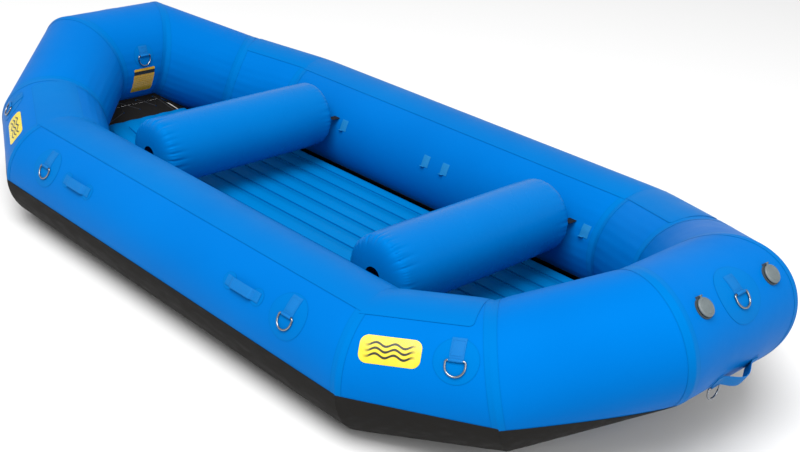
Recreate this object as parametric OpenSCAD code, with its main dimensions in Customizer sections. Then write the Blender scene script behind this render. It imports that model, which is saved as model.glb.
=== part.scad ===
// Self-bailing inflatable river raft: a ring of mitred air tubes around a laced I-beam floor,
// with two thwarts, hinged D-rings, webbing handles and inflation valves.
// +X is the bow, +Y is port, +Z is up. The origin is on the ground under the middle of the hull.

/* [Hull tubes] */
// Radius of the two side tubes
side_r = 254; // [250:1:258]
// Tube radius at the joints between the shoulders and the corners
shoulder_r = 249; // [246:1:252]
// Radius of the bow and stern tubes
end_r = 241; // [238:1:244]
// Distance of each side tube's centreline from the middle line
half_beam = 768; // [760:1:780]
// Half the length of the straight side tubes
side_half = 1057; // [1040:1:1080]
// Distance of the shoulder joints from midships
shoulder_x = 1452; // [1440:1:1470]
// Distance of the shoulder joints from the middle line
shoulder_y = 575; // [565:1:585]
// Distance of the bow and stern tubes from midships
end_x = 1753; // [1745:1:1765]
// Half the length of the bow and stern tubes
end_y = 214; // [205:1:225]
// Rise of the shoulder joints above the side tubes
shoulder_rise = 61; // [55:1:70]
// Rise of the bow and stern tubes above the side tubes
end_rise = 225; // [215:1:235]
// Thickness of the coated fabric skin
skin = 2; // [1.5:0.1:2.5]

/* [Seams and wear layers] */
// Width of the tape over each mitred seam
tape_w = 45; // [30:1:60]
// Thickness of the seam tape
tape_t = 0.8; // [0.5:0.1:1]
// Thickness of the black wear wrap under the tubes
wrap_t = 1.5; // [1:0.1:2]
// Width of the chafer strips along the top of the tubes
chafer_w = 214; // [180:1:230]
// Thickness of the chafer strips
chafer_t = 1; // [0.8:0.1:1.5]

/* [Floor] */
// Height of the floor's underside above the ground
floor_bottom = 6; // [4:1:12]
// Thickness of the inflated floor
floor_t = 124; // [110:1:130]
// Distance from midships to the floor's square ends
floor_end = 1440; // [1420:1:1450]
// Rise of the floor at its ends
floor_rise = 80; // [60:1:90]
// Spacing of the I-beam webs inside the floor
beam_pitch = 100; // [90:1:110]

/* [Thwarts] */
// Distance of each thwart from midships
thwart_x = 739; // [720:1:760]
// Height of the thwart axes above the ground
thwart_z = 365; // [350:1:375]
// Radius of the thwarts
thwart_r = 160; // [150:1:165]
// Half the length of the thwarts
thwart_half = 502; // [490:1:504]

/* [Rings and handles] */
// Radius of the D-ring wire
wire_r = 3.5; // [3:0.5:4]
// Distance between the centrelines of a D-ring's two legs
ring_w = 69; // [64:1:72]
// Width of the webbing that holds each D-ring
webbing_w = 50; // [44:1:54]
// Radius of the round patches under the D-rings
patch_r = 88; // [80:1:95]
// Height of a side handle's strap above the tube
handle_gap = 16; // [12:1:20]
// Height of the bow and stern lift handles above the tube
lift_gap = 38; // [30:1:42]

/* [Valves] */
// Radius of an inflation valve's pump socket
socket_r = 21; // [20:0.5:21.5]
// Radius of an inflation valve's domed cap
cap_r = 34; // [32:0.5:35]
// Distance of each inflation valve from the middle line
valve_y = 196; // [185:1:200]

/* [Hidden] */
$fn = 96;

hull_blue = [0.05, 0.42, 0.88];
wear_black = [0.13, 0.13, 0.14];
steel = [0.75, 0.76, 0.78];
cap_grey = [0.45, 0.44, 0.43];
decal_yellow = [0.95, 0.85, 0.25];

// Clearance that the wear layers keep from the tubes, so that they lie over the seam tape
wear_gap = tape_t + 0.2;
base_z = side_r + wear_gap + wrap_t;
// Gap left in the mitre planes between the layers of neighbouring tubes
mitre_gap = 0.15;
// Height of the inner face of the seam tape above the tubes
tape_gap = 0.1;
// How far a tube is drawn past its joints before the mitres cut it
over = 150;

// The hull is a closed ring of twelve joints. Tube i runs from joint i to joint i + 1,
// clockwise from the front left joint as seen from above.
STEP_OF = [0, 1, 2, 2, 1, 0, 0, 1, 2, 2, 1, 0];
// The kind of tube i: 0 side, 1 shoulder, 2 corner, 3 end
KIND_OF = [1, 2, 3, 2, 1, 0, 1, 2, 3, 2, 1, 0];
TUBES = [0 : 11];
function wrap12(i) = (i + 12) % 12;
function step(i) = STEP_OF[wrap12(i)];
function kind(i) = KIND_OF[wrap12(i)];
function side_x(i) = wrap12(i) < 6 ? 1 : -1;
function side_y(i) = wrap12(i) < 3 || wrap12(i) > 8 ? 1 : -1;
function joint(i) = [
    side_x(i) * [side_half, shoulder_x, end_x][step(i)],
    side_y(i) * [half_beam, shoulder_y, end_y][step(i)],
    base_z + [0, shoulder_rise, end_rise][step(i)]
];
function joint_r(i) = [side_r, shoulder_r, end_r][step(i)];
function unit(v) = v / norm(v);
// Directions of tube i: along it, outboard and up
function along(i) = unit(joint(i + 1) - joint(i));
function outboard(i) = unit(cross([0, 0, 1], along(i)));
function upward(i) = cross(along(i), outboard(i));
function tube_len(i) = norm(joint(i + 1) - joint(i));
function taper(i) = (joint_r(i + 1) - joint_r(i)) / tube_len(i);
function radius_at(i, s) = joint_r(i) + taper(i) * s;
// Normal of the mitre plane at joint i, pointing into tube i
function mitre(i) = unit(along(i - 1) + along(i));
// Outward normal of the surface of tube i at an angle above the outboard horizontal
function normal(i, phi) = outboard(i) * cos(phi) + upward(i) * sin(phi);
function slope_up(i, phi) = (upward(i) * cos(phi) - outboard(i) * sin(phi)) * (cos(phi) < 0 ? -1 : 1);

module place(p, ax, ay, az) {
    multmatrix([
        [ax.x, ay.x, az.x, p.x],
        [ax.y, ay.y, az.y, p.y],
        [ax.z, ay.z, az.z, p.z]
    ]) children();
}

// Children stand on tube i, s along it at angle phi: X along the tube, Y up its surface, Z outward
module on_tube(i, s, phi, lift = 0) {
    n = normal(i, phi);
    u = slope_up(i, phi);
    place(joint(i) + along(i) * s + n * (radius_at(i, s) + lift), cross(u, n), u, n) children();
}

// A solid block on the far side of a plane through p with normal n
module beyond(p, n, width = 1300, depth = 700) {
    translate(p)
        rotate([0, acos(n.z), atan2(n.y, n.x)])
            translate([-width / 2, -width / 2, 0])
                cube([width, width, depth]);
}

module rod(i, dr, s0 = -over, s1 = undef) {
    end = is_undef(s1) ? tube_len(i) + over : s1;
    place(joint(i), outboard(i), upward(i), along(i))
        translate([0, 0, s0])
            cylinder(h = end - s0, r1 = radius_at(i, s0) + dr, r2 = radius_at(i, end) + dr);
}

module mitre_cuts(i, gap) {
    beyond(joint(i) + mitre(i) * gap, -mitre(i));
    beyond(joint(i + 1) - mitre(i + 1) * gap, mitre(i + 1));
}

// A layer around tube i between two heights above its surface
module layer(i, low, high, gap = mitre_gap) {
    difference() {
        rod(i, high);
        rod(i, low, -over - 5, tube_len(i) + over + 5);
        mitre_cuts(i, gap);
    }
}

module tube(i) {
    color(hull_blue) layer(i, -skin, 0, 0);
}

module end_tube(i) {
    color(hull_blue)
        difference() {
            layer(i, -skin, 0, 0);
            for (v = VALVES)
                if (v[0] == i)
                    on_tube(i, v[1], v[2]) translate([0, 0, -40]) cylinder(r = barrel_r + 0.3, h = 80);
        }
}

// Height of the wear wrap's edge plane below the centreline, at each kind of joint
WRAP_DROP = [82, 117, 220];
wrap_slope = 0.25;
module wear_wrap(i) {
    a = joint(i) - [0, 0, WRAP_DROP[step(i)]];
    b = joint(i + 1) - [0, 0, WRAP_DROP[step(i + 1)]];
    color(wear_black)
        difference() {
            layer(i, wear_gap, wear_gap + wrap_t);
            beyond((a + b) / 2, unit(cross(b - a, outboard(i) + [0, 0, wrap_slope])), 2600);
            if (kind(i) == 3)
                on_tube(i, end_mid, low_ring_phi) cylinder(r = low_patch_r + 1, h = 60, center = true);
        }
}

module wear_wrap_sides() {
    for (i = TUBES) if (kind(i) == 0) wear_wrap(i);
}

module wear_wrap_ends() {
    for (i = TUBES) if (kind(i) != 0) wear_wrap(i);
}

// The tape over joint i, in two halves that all but meet in the mitre plane
module seam_tape(i) {
    m = mitre(i);
    before = tube_len(i - 1);
    difference() {
        rod(i, tape_t, -over, over);
        rod(i, tape_gap, -over - 5, over + 5);
        beyond(joint(i) + m * mitre_gap, -m);
        beyond(joint(i) + m * tape_w / 2, m);
    }
    difference() {
        rod(wrap12(i - 1), tape_t, before - over, before + over);
        rod(wrap12(i - 1), tape_gap, before - over - 5, before + over + 5);
        beyond(joint(i) - m * mitre_gap, m);
        beyond(joint(i) - m * tape_w / 2, -m);
    }
}

module seam_tapes() {
    color(hull_blue) for (i = TUBES) seam_tape(i);
}

// How much of a shoulder tube's length its chafer covers
chafer_share = 0.87;
module top_chafer(i) {
    shoulder = kind(i) == 1;
    toward_end = step(i + 1) > step(i);
    reach = tube_len(i) * (shoulder ? chafer_share : 1);
    start = shoulder && !toward_end ? tube_len(i) - reach : -over;
    finish = shoulder && toward_end ? reach : tube_len(i) + over;
    intersection() {
        layer(i, wear_gap, wear_gap + chafer_t);
        place(joint(i), outboard(i), upward(i), along(i))
            translate([-chafer_w / 2, 0, start])
                cube([chafer_w, 300, finish - start]);
    }
}

module top_chafers() {
    color(hull_blue) for (i = TUBES) if (kind(i) < 2) top_chafer(i);
}

// Dished walls that part the hull into four air chambers
baffle_depth = 60;
module chamber_baffle(i) {
    s = tube_len(i) / 2;
    r = radius_at(i, s) - skin - 0.05;
    place(joint(i) + along(i) * s, outboard(i), upward(i), along(i))
        rotate_extrude()
            polygon([[0, baffle_depth], [r, 0], [r, 1.5], [0, baffle_depth + 1.5]]);
}

module chamber_baffles() {
    color(wear_black) for (i = TUBES) if (kind(i) % 3 == 0) chamber_baffle(i);
}

// Plan corner at joint i of a line drawn inboard of the tube centrelines
function plan_out(i) = unit([outboard(i).x, outboard(i).y]);
function cross2(a, b) = a.x * b.y - a.y * b.x;
function inboard_corner(i, offsets) =
    let (n1 = plan_out(i - 1), n2 = plan_out(i), j = [joint(i).x, joint(i).y],
         c1 = j * n1 - offsets[kind(i - 1)], c2 = j * n2 - offsets[kind(i)], det = cross2(n1, n2))
    [(c1 * n2.y - c2 * n1.y) / det, (n1.x * c2 - n2.x * c1) / det];
function inboard_ring(offsets) = [for (i = TUBES) inboard_corner(i, offsets)];
function grown(offsets, d) = [for (o = offsets) o + d];

// Inset of the floor's edge, of its flange and of the hull's flange from the centrelines,
// for side, shoulder, corner and end tubes
FLOOR_EDGE = [233, 226, 205, end_x - floor_end];
FLOOR_FLANGE_EDGE = [166, 166, 172, 176];
HULL_FLANGE_EDGE = [156, 156, 162, 163];

// Side view of a sheet or slab that follows the floor's rocker, drawn low to high
function rocker(z0, z1, reach) = [
    [-reach, z0 + floor_rise * (reach - side_half) / (floor_end - side_half)], [-side_half, z0], [side_half, z0],
    [reach, z0 + floor_rise * (reach - side_half) / (floor_end - side_half)],
    [reach, z1 + floor_rise * (reach - side_half) / (floor_end - side_half)], [side_half, z1], [-side_half, z1],
    [-reach, z1 + floor_rise * (reach - side_half) / (floor_end - side_half)]
];
// Spreads a side view across the hull
module across(width) {
    rotate([90, 0, 0]) linear_extrude(width, center = true) children();
}

module floor_solid(inset) {
    intersection() {
        linear_extrude(600) polygon(inboard_ring(grown(FLOOR_EDGE, inset)));
        across(2000) polygon(rocker(floor_bottom + inset, floor_bottom + floor_t - inset, floor_end + 50));
    }
}

floor_valve_x = 980;
module floor_skin() {
    color(hull_blue)
        difference() {
            floor_solid(0);
            floor_solid(skin);
            translate([floor_valve_x, 0, floor_bottom + floor_t - 20]) cylinder(r = small_barrel_r + 0.3, h = 40);
        }
}

module floor_beams() {
    color(hull_blue)
        for (k = [-5 : 4])
            intersection() {
                floor_solid(skin + 0.1);
                translate([0, (k + 0.5) * beam_pitch, 300]) cube([4000, 1.2, 700], center = true);
            }
}

flange_z = 31;
flange_t = 2;
// The flanges leave the floor level and climb past its ends to the bow and stern tubes
flange_climb = 1;
function flange_height(x) =
    flange_z + floor_rise * max(0, min(abs(x), floor_end) - side_half) / (floor_end - side_half)
    + flange_climb * max(0, abs(x) - floor_end);
FLANGE_X = [-end_x, -floor_end, -side_half, side_half, floor_end, end_x];
module flange_sheet() {
    across(2000)
        polygon(concat(
            [for (x = FLANGE_X) [x, flange_height(x)]],
            [for (k = [5 : -1 : 0]) [FLANGE_X[k], flange_height(FLANGE_X[k]) + flange_t]]
        ));
}

// One straight strip of a flange beside tube i, between two insets
module flange_strip(i, inner, outer) {
    linear_extrude(700)
        polygon([inboard_corner(i, inner), inboard_corner(i + 1, inner),
                 inboard_corner(i + 1, outer), inboard_corner(i, outer)]);
}

lace_pitch = 118;
grommet_r = 5;
// Stations along tube i where the lace passes through both flanges
function lace_count(i) = max(1, floor((tube_len(i) - 70) / lace_pitch));
function plan_mix(a, b, t) = a * (1 - t) + b * t;
function lace_point(i, offsets, t) =
    let (p = plan_mix(inboard_corner(i, offsets), inboard_corner(i + 1, offsets), t))
    [p.x, p.y, flange_height(p.x) + flange_t / 2];
// On a corner tube the grommets keep to the low part of its length, clear of the rising tube
corner_share = 0.8;
function lace_share(i, k) =
    let (even = (k + 0.5) / lace_count(i))
    kind(i) != 2 ? even : even * corner_share + (step(i) == 2 ? 1 - corner_share : 0);
FLOOR_GROMMETS = grown(FLOOR_FLANGE_EDGE, 14);
HULL_GROMMETS = grown(HULL_FLANGE_EDGE, -13);

module flange_holes(offsets, r) {
    for (i = TUBES)
        for (k = [0 : lace_count(i) - 1])
            translate(lace_point(i, offsets, lace_share(i, k))) cylinder(r = r, h = 60, center = true, $fn = 32);
}

module floor_flange() {
    color(wear_black)
        difference() {
            for (i = TUBES)
                intersection() {
                    flange_strip(i, grown(FLOOR_EDGE, -0.3), FLOOR_FLANGE_EDGE);
                    flange_sheet();
                }
            flange_holes(FLOOR_GROMMETS, grommet_r + 0.2);
        }
}

module hull_flange() {
    color(wear_black)
        difference() {
            for (i = TUBES)
                intersection() {
                    flange_strip(i, HULL_FLANGE_EDGE, grown(HULL_FLANGE_EDGE, -60));
                    flange_sheet();
                }
            flange_holes(HULL_GROMMETS, grommet_r + 0.2);
            for (i = TUBES) rod(i, wear_gap + wrap_t + 0.1, -20, tube_len(i) + 20);
        }
}

module grommet() {
    difference() {
        cylinder(r = grommet_r, h = 5, center = true, $fn = 32);
        cylinder(r = grommet_r - 1.2, h = 8, center = true, $fn = 32);
    }
}

module grommets() {
    color(steel)
        for (offsets = [FLOOR_GROMMETS, HULL_GROMMETS])
            for (i = TUBES)
                for (k = [0 : lace_count(i) - 1])
                    translate(lace_point(i, offsets, lace_share(i, k))) grommet();
}

// The lace zigzags between the two rows of grommets, all round the floor
lace_r = 2.5;
LACE = [
    for (i = TUBES)
        for (k = [0 : lace_count(i) - 1])
            for (side = [0, 1])
                lace_point(i, side == 0 ? FLOOR_GROMMETS : HULL_GROMMETS, lace_share(i, k) + side * 0.02)
];
lace_sides = 6;
function lace_frame(k) =
    let (n = len(LACE), t = unit(LACE[(k + 1) % n] - LACE[(k + n - 1) % n]), s = unit(cross(t, [0, 0, 1])))
    [s, cross(s, t)];
module floor_lacing() {
    n = len(LACE);
    ring_points = [
        for (k = [0 : n - 1])
            for (a = [0 : lace_sides - 1])
                let (f = lace_frame(k), w = 360 * a / lace_sides)
                LACE[k] + (f[0] * cos(w) + f[1] * sin(w)) * lace_r
    ];
    sides = [
        for (k = [0 : n - 1])
            for (a = [0 : lace_sides - 1])
                let (b = (a + 1) % lace_sides, next = (k + 1) % n)
                [k * lace_sides + a, next * lace_sides + a, next * lace_sides + b, k * lace_sides + b]
    ];
    color(wear_black) polyhedron(ring_points, sides, convexity = 12);
}

// Outline of half a thwart, with a rounded edge at each end
thwart_edge = 45;
module thwart_profile(inset) {
    r = thwart_r - inset;
    half = thwart_half - inset;
    edge = thwart_edge - inset;
    intersection() {
        union() {
            square([2 * r, 2 * (half - edge)], center = true);
            square([2 * (r - edge), 2 * half], center = true);
            for (s = [-1, 1]) translate([r - edge, s * (half - edge)]) circle(edge);
        }
        translate([0, -thwart_half - 5]) square([thwart_r + 5, 2 * thwart_half + 10]);
    }
}

// The valve on each thwart faces aft and a little upward
thwart_valve_y = 280;
thwart_valve_up = 20;
module thwart_valve_place(end) {
    translate([end * thwart_x, thwart_valve_y, thwart_z])
        rotate([0, -90 + thwart_valve_up, 0])
            translate([0, 0, thwart_r]) children();
}

module thwart_solid(end, inset) {
    translate([end * thwart_x, 0, thwart_z]) rotate([90, 0, 0]) rotate_extrude() thwart_profile(inset);
}

module thwart(end) {
    color(hull_blue)
        difference() {
            thwart_solid(end, 0);
            thwart_solid(end, skin);
            thwart_valve_place(end) translate([0, 0, -20]) cylinder(r = small_barrel_r + 0.3, h = 40);
        }
}

// Short straps that hold each thwart's ends to the side tubes
strap_w = 50;
strap_len = 100;
strap_t_thwart = 2.4;
strap_rise = 5;
// The straps sit on the forward side of each thwart
strap_forward = 125;
module thwart_straps() {
    color(wear_black)
        for (end = [-1, 1])
            for (side = [-1, 1])
                difference() {
                    translate([end * thwart_x + strap_forward, side * (thwart_half + 30), thwart_z + strap_rise])
                        cube([strap_w, strap_len, strap_t_thwart], center = true);
                    rod(side > 0 ? 11 : 5, 0.2);
                    thwart_solid(end, -0.2);
                }
}

// Webbing tabs inside the side tubes, where thwarts and gear are tied
TAB_X = [-940, -550, 15, 135, 550, 940];
tab_phi = 159;
tab_w = 40;
module tie_tab(i, s) {
    intersection() {
        layer(i, 0.1, 1.9);
        on_tube(i, s, tab_phi) cube([tab_w, 55, 30], center = true);
    }
    on_tube(i, s, tab_phi) translate([-tab_w / 2, -27, -0.3]) cube([tab_w * 0.55, 2.2, 14]);
}

module tie_tabs() {
    color(hull_blue)
        for (x = TAB_X) {
            tie_tab(5, side_half - x);
            tie_tab(11, side_half + x);
        }
}

/* D-rings: tube, distance along it, angle up its surface, patch radius, webbing length */
ring_side_s = 241;
ring_shoulder_s = 354;
shoulder_len = norm(joint(1) - joint(0));
ring_side_phi = 32;
ring_shoulder_phi = 36;
end_mid = end_y;
low_ring_phi = -50;
low_patch_r = 60;
RINGS = [
    [11, tube_len(11) - ring_side_s, ring_side_phi, patch_r, 78],
    [5, ring_side_s, ring_side_phi, patch_r, 78],
    [11, ring_side_s, ring_side_phi, patch_r, 78],
    [5, tube_len(5) - ring_side_s, ring_side_phi, patch_r, 78],
    [0, ring_shoulder_s, ring_shoulder_phi, 78, 78],
    [4, shoulder_len - ring_shoulder_s, ring_shoulder_phi, 78, 78],
    [10, shoulder_len - ring_shoulder_s, ring_shoulder_phi, 78, 78],
    [6, ring_shoulder_s, ring_shoulder_phi, 78, 78],
    [2, end_mid, 45, 104, 70],
    [2, end_mid, low_ring_phi, low_patch_r, 50],
    [8, end_mid, 45, 104, 70],
    [8, end_mid, low_ring_phi, low_patch_r, 50],
    [8, end_mid, 166, 58, 50]
];
patch_t = 1.2;
loop_r = 5.7;
loop_bore = wire_r + 0.4;
ring_lift = patch_t + loop_r + 0.2;
ring_leg = 18;
rest_tilt = 6;
// A ring on a face that looks down hangs plumb; any other lies back against its tube
function ring_tilt(phi) = phi < 0 ? phi : rest_tilt;

module d_ring(k) {
    g = RINGS[k];
    color(steel)
        on_tube(g[0], g[1], g[2], ring_lift)
            rotate([ring_tilt(g[2]), 0, 0]) {
                rotate([0, 90, 0]) cylinder(r = wire_r, h = ring_w, center = true, $fn = 48);
                for (s = [-1, 1]) {
                    translate([s * ring_w / 2, 0, 0]) sphere(wire_r, $fn = 48);
                    translate([s * ring_w / 2, 0, 0]) rotate([90, 0, 0]) cylinder(r = wire_r, h = ring_leg, $fn = 48);
                }
                translate([0, -ring_leg, 0])
                    rotate([0, 0, 180])
                        rotate_extrude(angle = 180) translate([ring_w / 2, 0]) circle(wire_r, $fn = 48);
            }
}

module ring_web(g) {
    difference() {
        union() {
            intersection() {
                layer(g[0], patch_t, patch_t + 2);
                on_tube(g[0], g[1], g[2])
                    translate([-webbing_w / 2, 0, -20]) cube([webbing_w, g[4], 40]);
            }
            on_tube(g[0], g[1], g[2], ring_lift)
                rotate([0, 90, 0]) cylinder(r = loop_r, h = webbing_w, center = true, $fn = 48);
        }
        on_tube(g[0], g[1], g[2], ring_lift)
            rotate([0, 90, 0]) cylinder(r = loop_bore, h = webbing_w + 2, center = true, $fn = 48);
    }
}

module ring_webbing() {
    color(hull_blue) for (g = RINGS) ring_web(g);
}

/* Handles: tube, distance along it, angle, gap under the strap, half length, width */
handle_phi = 32;
handle_side_s = 490;
lift_phi = -26;
HANDLES = [
    [11, handle_side_s, handle_phi, handle_gap, 95, 38],
    [11, tube_len(11) - handle_side_s, handle_phi, handle_gap, 95, 38],
    [5, handle_side_s, handle_phi, handle_gap, 95, 38],
    [5, tube_len(5) - handle_side_s, handle_phi, handle_gap, 95, 38],
    [2, end_mid, lift_phi, lift_gap, 120, 44],
    [8, end_mid, lift_phi, lift_gap, 120, 44]
];
strap_t = 2.5;
handle_pad = 32;
module handle(h) {
    low = patch_t + 0.9;
    foot = h[4] - handle_pad;
    top = foot - 0.9 * h[3];
    on_tube(h[0], h[1], h[2])
        rotate([90, 0, 0])
            linear_extrude(h[5], center = true)
                polygon([
                    [-h[4], low], [-foot, low], [-top, h[3]], [top, h[3]], [foot, low], [h[4], low],
                    [h[4], low + strap_t], [foot + 1, low + strap_t], [top + 1, h[3] + strap_t],
                    [-top - 1, h[3] + strap_t], [-foot - 1, low + strap_t], [-h[4], low + strap_t]
                ]);
}

module grab_handles() {
    color(hull_blue) for (h = HANDLES) handle(h);
}

// Round patches that spread the load of rings and handles over the tube
module patch(i, s, phi, r) {
    intersection() {
        layer(i, 0.1, patch_t);
        on_tube(i, s, phi) translate([0, 0, -30]) cylinder(r = r, h = 60);
    }
}

module patches() {
    color(hull_blue) {
        for (g = RINGS) patch(g[0], g[1], g[2], g[3]);
        for (h = HANDLES)
            for (e = [-1, 1])
                patch(h[0], h[1] + e * (h[4] - handle_pad / 2), h[2], 34);
    }
}

/* Inflation valves: tube, distance along it, angle up its surface */
bow_valve_phi = 47;
stern_valve_phi = 20;
VALVES = [
    [2, end_mid - valve_y, bow_valve_phi],
    [2, end_mid + valve_y, bow_valve_phi],
    [8, end_mid + valve_y, stern_valve_phi],
    [8, end_mid - valve_y, stern_valve_phi]
];
barrel_r = 23;
flange_r = 37;
valve_top = 9;
hinge_y = 39.5;
hinge_z = valve_top + 3;
pin_r = 1.2;
seat_z = -44;
module valve_body(v) {
    difference() {
        union() {
            on_tube(v[0], v[1], v[2]) {
                translate([0, 0, -6]) cylinder(r = flange_r, h = 10);
                translate([0, 0, -6]) cylinder(r = barrel_r + 2, h = 6 + valve_top);
                translate([-8, 30, -6]) cube([16, 13, 12]);
            }
        }
        rod(v[0], 0.3);
        on_tube(v[0], v[1], v[2]) translate([0, 0, -20]) cylinder(r = barrel_r - 1, h = 50);
    }
    on_tube(v[0], v[1], v[2]) {
        difference() {
            translate([0, 0, seat_z]) cylinder(r = barrel_r, h = valve_top - seat_z);
            translate([0, 0, 1]) cylinder(r = socket_r, h = 20);
            translate([0, 0, seat_z - 1]) cylinder(r = 15, h = 60);
        }
        difference() {
            translate([0, 0, -26]) cylinder(r = 15.5, h = 3);
            translate([0, 0, -27]) cylinder(r = 3.4, h = 5, $fn = 32);
            for (a = [0 : 90 : 270]) rotate(a) translate([9.5, 0, -27]) cylinder(r = 3.4, h = 5, $fn = 32);
        }
        for (s = [-1, 1])
            translate([s * 6.5, hinge_y, 0]) {
                rotate([0, 90, 0]) translate([-hinge_z, 0, 0]) cylinder(r = 2.8, h = 3, center = true, $fn = 32);
                translate([-1.5, -2.8, 5]) cube([3, 5.6, hinge_z - 5]);
            }
        translate([0, hinge_y, hinge_z]) rotate([0, 90, 0]) cylinder(r = pin_r, h = 14, center = true, $fn = 32);
    }
}

module valve_bodies() {
    color(cap_grey) for (v = VALVES) valve_body(v);
}

// Domed cap on its hinge tether, with a skirt that fits loosely round the valve's neck
dome_h = 11;
skirt_r = 29.5;
skirt_bore = 27;
skirt_h = 2.5;
module valve_cap(k) {
    v = VALVES[k];
    dome_r = (cap_r * cap_r + dome_h * dome_h) / (2 * dome_h);
    color(cap_grey)
        on_tube(v[0], v[1], v[2]) {
            difference() {
                union() {
                    intersection() {
                        translate([0, 0, valve_top + 0.4 + dome_h - dome_r]) sphere(dome_r, $fn = 128);
                        translate([0, 0, valve_top + 0.4]) cylinder(r = cap_r + 5, h = dome_h + 5);
                    }
                    difference() {
                        translate([0, 0, valve_top - skirt_h]) cylinder(r = skirt_r, h = skirt_h + 2);
                        translate([0, 0, valve_top - skirt_h - 1]) cylinder(r = skirt_bore, h = skirt_h + 1.4);
                    }
                    translate([-4.4, 28, valve_top + 0.6]) cube([8.8, hinge_y - 28, 4.2]);
                    translate([0, hinge_y, hinge_z]) rotate([0, 90, 0])
                        cylinder(r = 2.8, h = 8.8, center = true, $fn = 32);
                }
                translate([0, hinge_y, hinge_z]) rotate([0, 90, 0])
                    cylinder(r = pin_r + 0.08, h = 12, center = true, $fn = 32);
            }
        }
}

// Plunger with its push button, stem and sealing disc
module plunger(k) {
    v = VALVES[k];
    color(wear_black)
        on_tube(v[0], v[1], v[2]) {
            translate([0, 0, -10]) cylinder(r = 11, h = 3);
            translate([0, 0, -46]) cylinder(r = 3, h = 38, $fn = 32);
            translate([0, 0, seat_z - 3.6]) cylinder(r = 18.5, h = 3.2);
        }
}

// Coil spring between the spider and the button of each valve
coil_r = 7;
coil_wire = 0.7;
coil_turns = 3.5;
coil_steps = 12;
function coil_point(t) = [coil_r * cos(360 * t), coil_r * sin(360 * t), -22.1 + 11.1 * t / coil_turns];
module coil_spring() {
    count = coil_turns * coil_steps;
    points = [
        for (k = [0 : count])
            for (a = [0 : 5])
                let (c = coil_point(k / coil_steps), w = 360 * k / coil_steps,
                     radial = [cos(w), sin(w), 0])
                c + (radial * cos(60 * a) + [0, 0, 1] * sin(60 * a)) * coil_wire
    ];
    sides = [
        for (k = [0 : count - 1])
            for (a = [0 : 5])
                [k * 6 + a, k * 6 + (a + 1) % 6, (k + 1) * 6 + (a + 1) % 6, (k + 1) * 6 + a]
    ];
    caps = [[for (a = [5 : -1 : 0]) a], [for (a = [0 : 5]) count * 6 + a]];
    polyhedron(points, concat(sides, caps), convexity = 10);
}

module valve_springs() {
    color(steel) for (v = VALVES) on_tube(v[0], v[1], v[2]) coil_spring();
}

/* Small twist valves of the thwarts and the floor */
small_barrel_r = 12;
small_top = 4;
module small_body() {
    difference() {
        union() {
            translate([0, 0, 0.3]) cylinder(r = 20, h = small_top - 0.3);
            translate([0, 0, -22]) cylinder(r = small_barrel_r, h = 24);
        }
        translate([0, 0, -23]) cylinder(r = 8, h = 40);
    }
}

module small_cap() {
    difference() {
        union() {
            translate([0, 0, small_top + 0.4]) cylinder(r = 15, h = 6);
            translate([0, 0, small_top - 9]) cylinder(r = 7.5, h = 12);
            translate([-11, -2, small_top + 4]) cube([22, 4, 6.5]);
        }
        translate([0, 0, small_top - 10]) cylinder(r = 5, h = 10);
    }
}

module floor_valve_place() {
    translate([floor_valve_x, 0, floor_bottom + floor_t]) children();
}

module small_valve_bodies() {
    color(cap_grey) {
        for (end = [-1, 1])
            difference() {
                thwart_valve_place(end) {
                    translate([0, 0, -1.4]) difference() {
                        cylinder(r = 20, h = small_top + 1.4);
                        translate([0, 0, -1]) cylinder(r = 8, h = 10);
                    }
                }
                thwart_solid(end, -0.3);
            }
        for (end = [-1, 1])
            thwart_valve_place(end)
                difference() {
                    translate([0, 0, -22]) cylinder(r = small_barrel_r, h = 24);
                    translate([0, 0, -23]) cylinder(r = 8, h = 40);
                }
        floor_valve_place() small_body();
    }
}

module small_cap_on_thwart(end) {
    color(cap_grey) thwart_valve_place(end) small_cap();
}

module small_cap_on_floor() {
    color(cap_grey) floor_valve_place() small_cap();
}

// Plain yellow badge, a rectangle with round corners
decal_s = 128;
decal_phi = 37;
decal_w = 216;
decal_h = 96;
decal_corner = 30;
decal_t = 0.5;
module badge_shape() {
    square([decal_w - 2 * decal_corner, decal_h], center = true);
    square([decal_w, decal_h - 2 * decal_corner], center = true);
    for (x = [-1, 1])
        for (y = [-1, 1])
            translate([x * (decal_w / 2 - decal_corner), y * (decal_h / 2 - decal_corner)]) circle(decal_corner);
}

module decals() {
    color(decal_yellow)
        for (i = TUBES)
            if (kind(i) == 1)
                intersection() {
                    layer(i, 0.1, 0.1 + decal_t);
                    on_tube(i, step(i) == 0 ? decal_s : tube_len(i) - decal_s, decal_phi)
                        translate([0, 0, -40]) linear_extrude(80) badge_shape();
                }
}

// Blank instruction label low inside the stern
label_phi = 199;
label_w = 125;
label_h = 146;
module info_label() {
    color(decal_yellow)
        intersection() {
            layer(8, 0.1, 0.1 + decal_t);
            on_tube(8, end_mid, label_phi) cube([label_w, label_h, 60], center = true);
        }
}

tube(11);  // side_tube_left
tube(5);  // side_tube_right
tube(0);  // shoulder_tube_front_left
tube(4);  // shoulder_tube_front_right
tube(10);  // shoulder_tube_rear_left
tube(6);  // shoulder_tube_rear_right
tube(1);  // corner_tube_front_left
tube(3);  // corner_tube_front_right
tube(9);  // corner_tube_rear_left
tube(7);  // corner_tube_rear_right
end_tube(2);  // bow_tube
end_tube(8);  // stern_tube
wear_wrap_sides();
wear_wrap_ends();
seam_tapes();
top_chafers();
chamber_baffles();
floor_skin();
floor_beams();
floor_flange();
hull_flange();
grommets();
floor_lacing();
thwart(1);  // thwart_front
thwart(-1);  // thwart_rear
thwart_straps();
tie_tabs();
d_ring(0);  // ring_side_front_left
d_ring(1);  // ring_side_front_right
d_ring(2);  // ring_side_rear_left
d_ring(3);  // ring_side_rear_right
d_ring(4);  // ring_shoulder_front_left
d_ring(5);  // ring_shoulder_front_right
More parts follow.
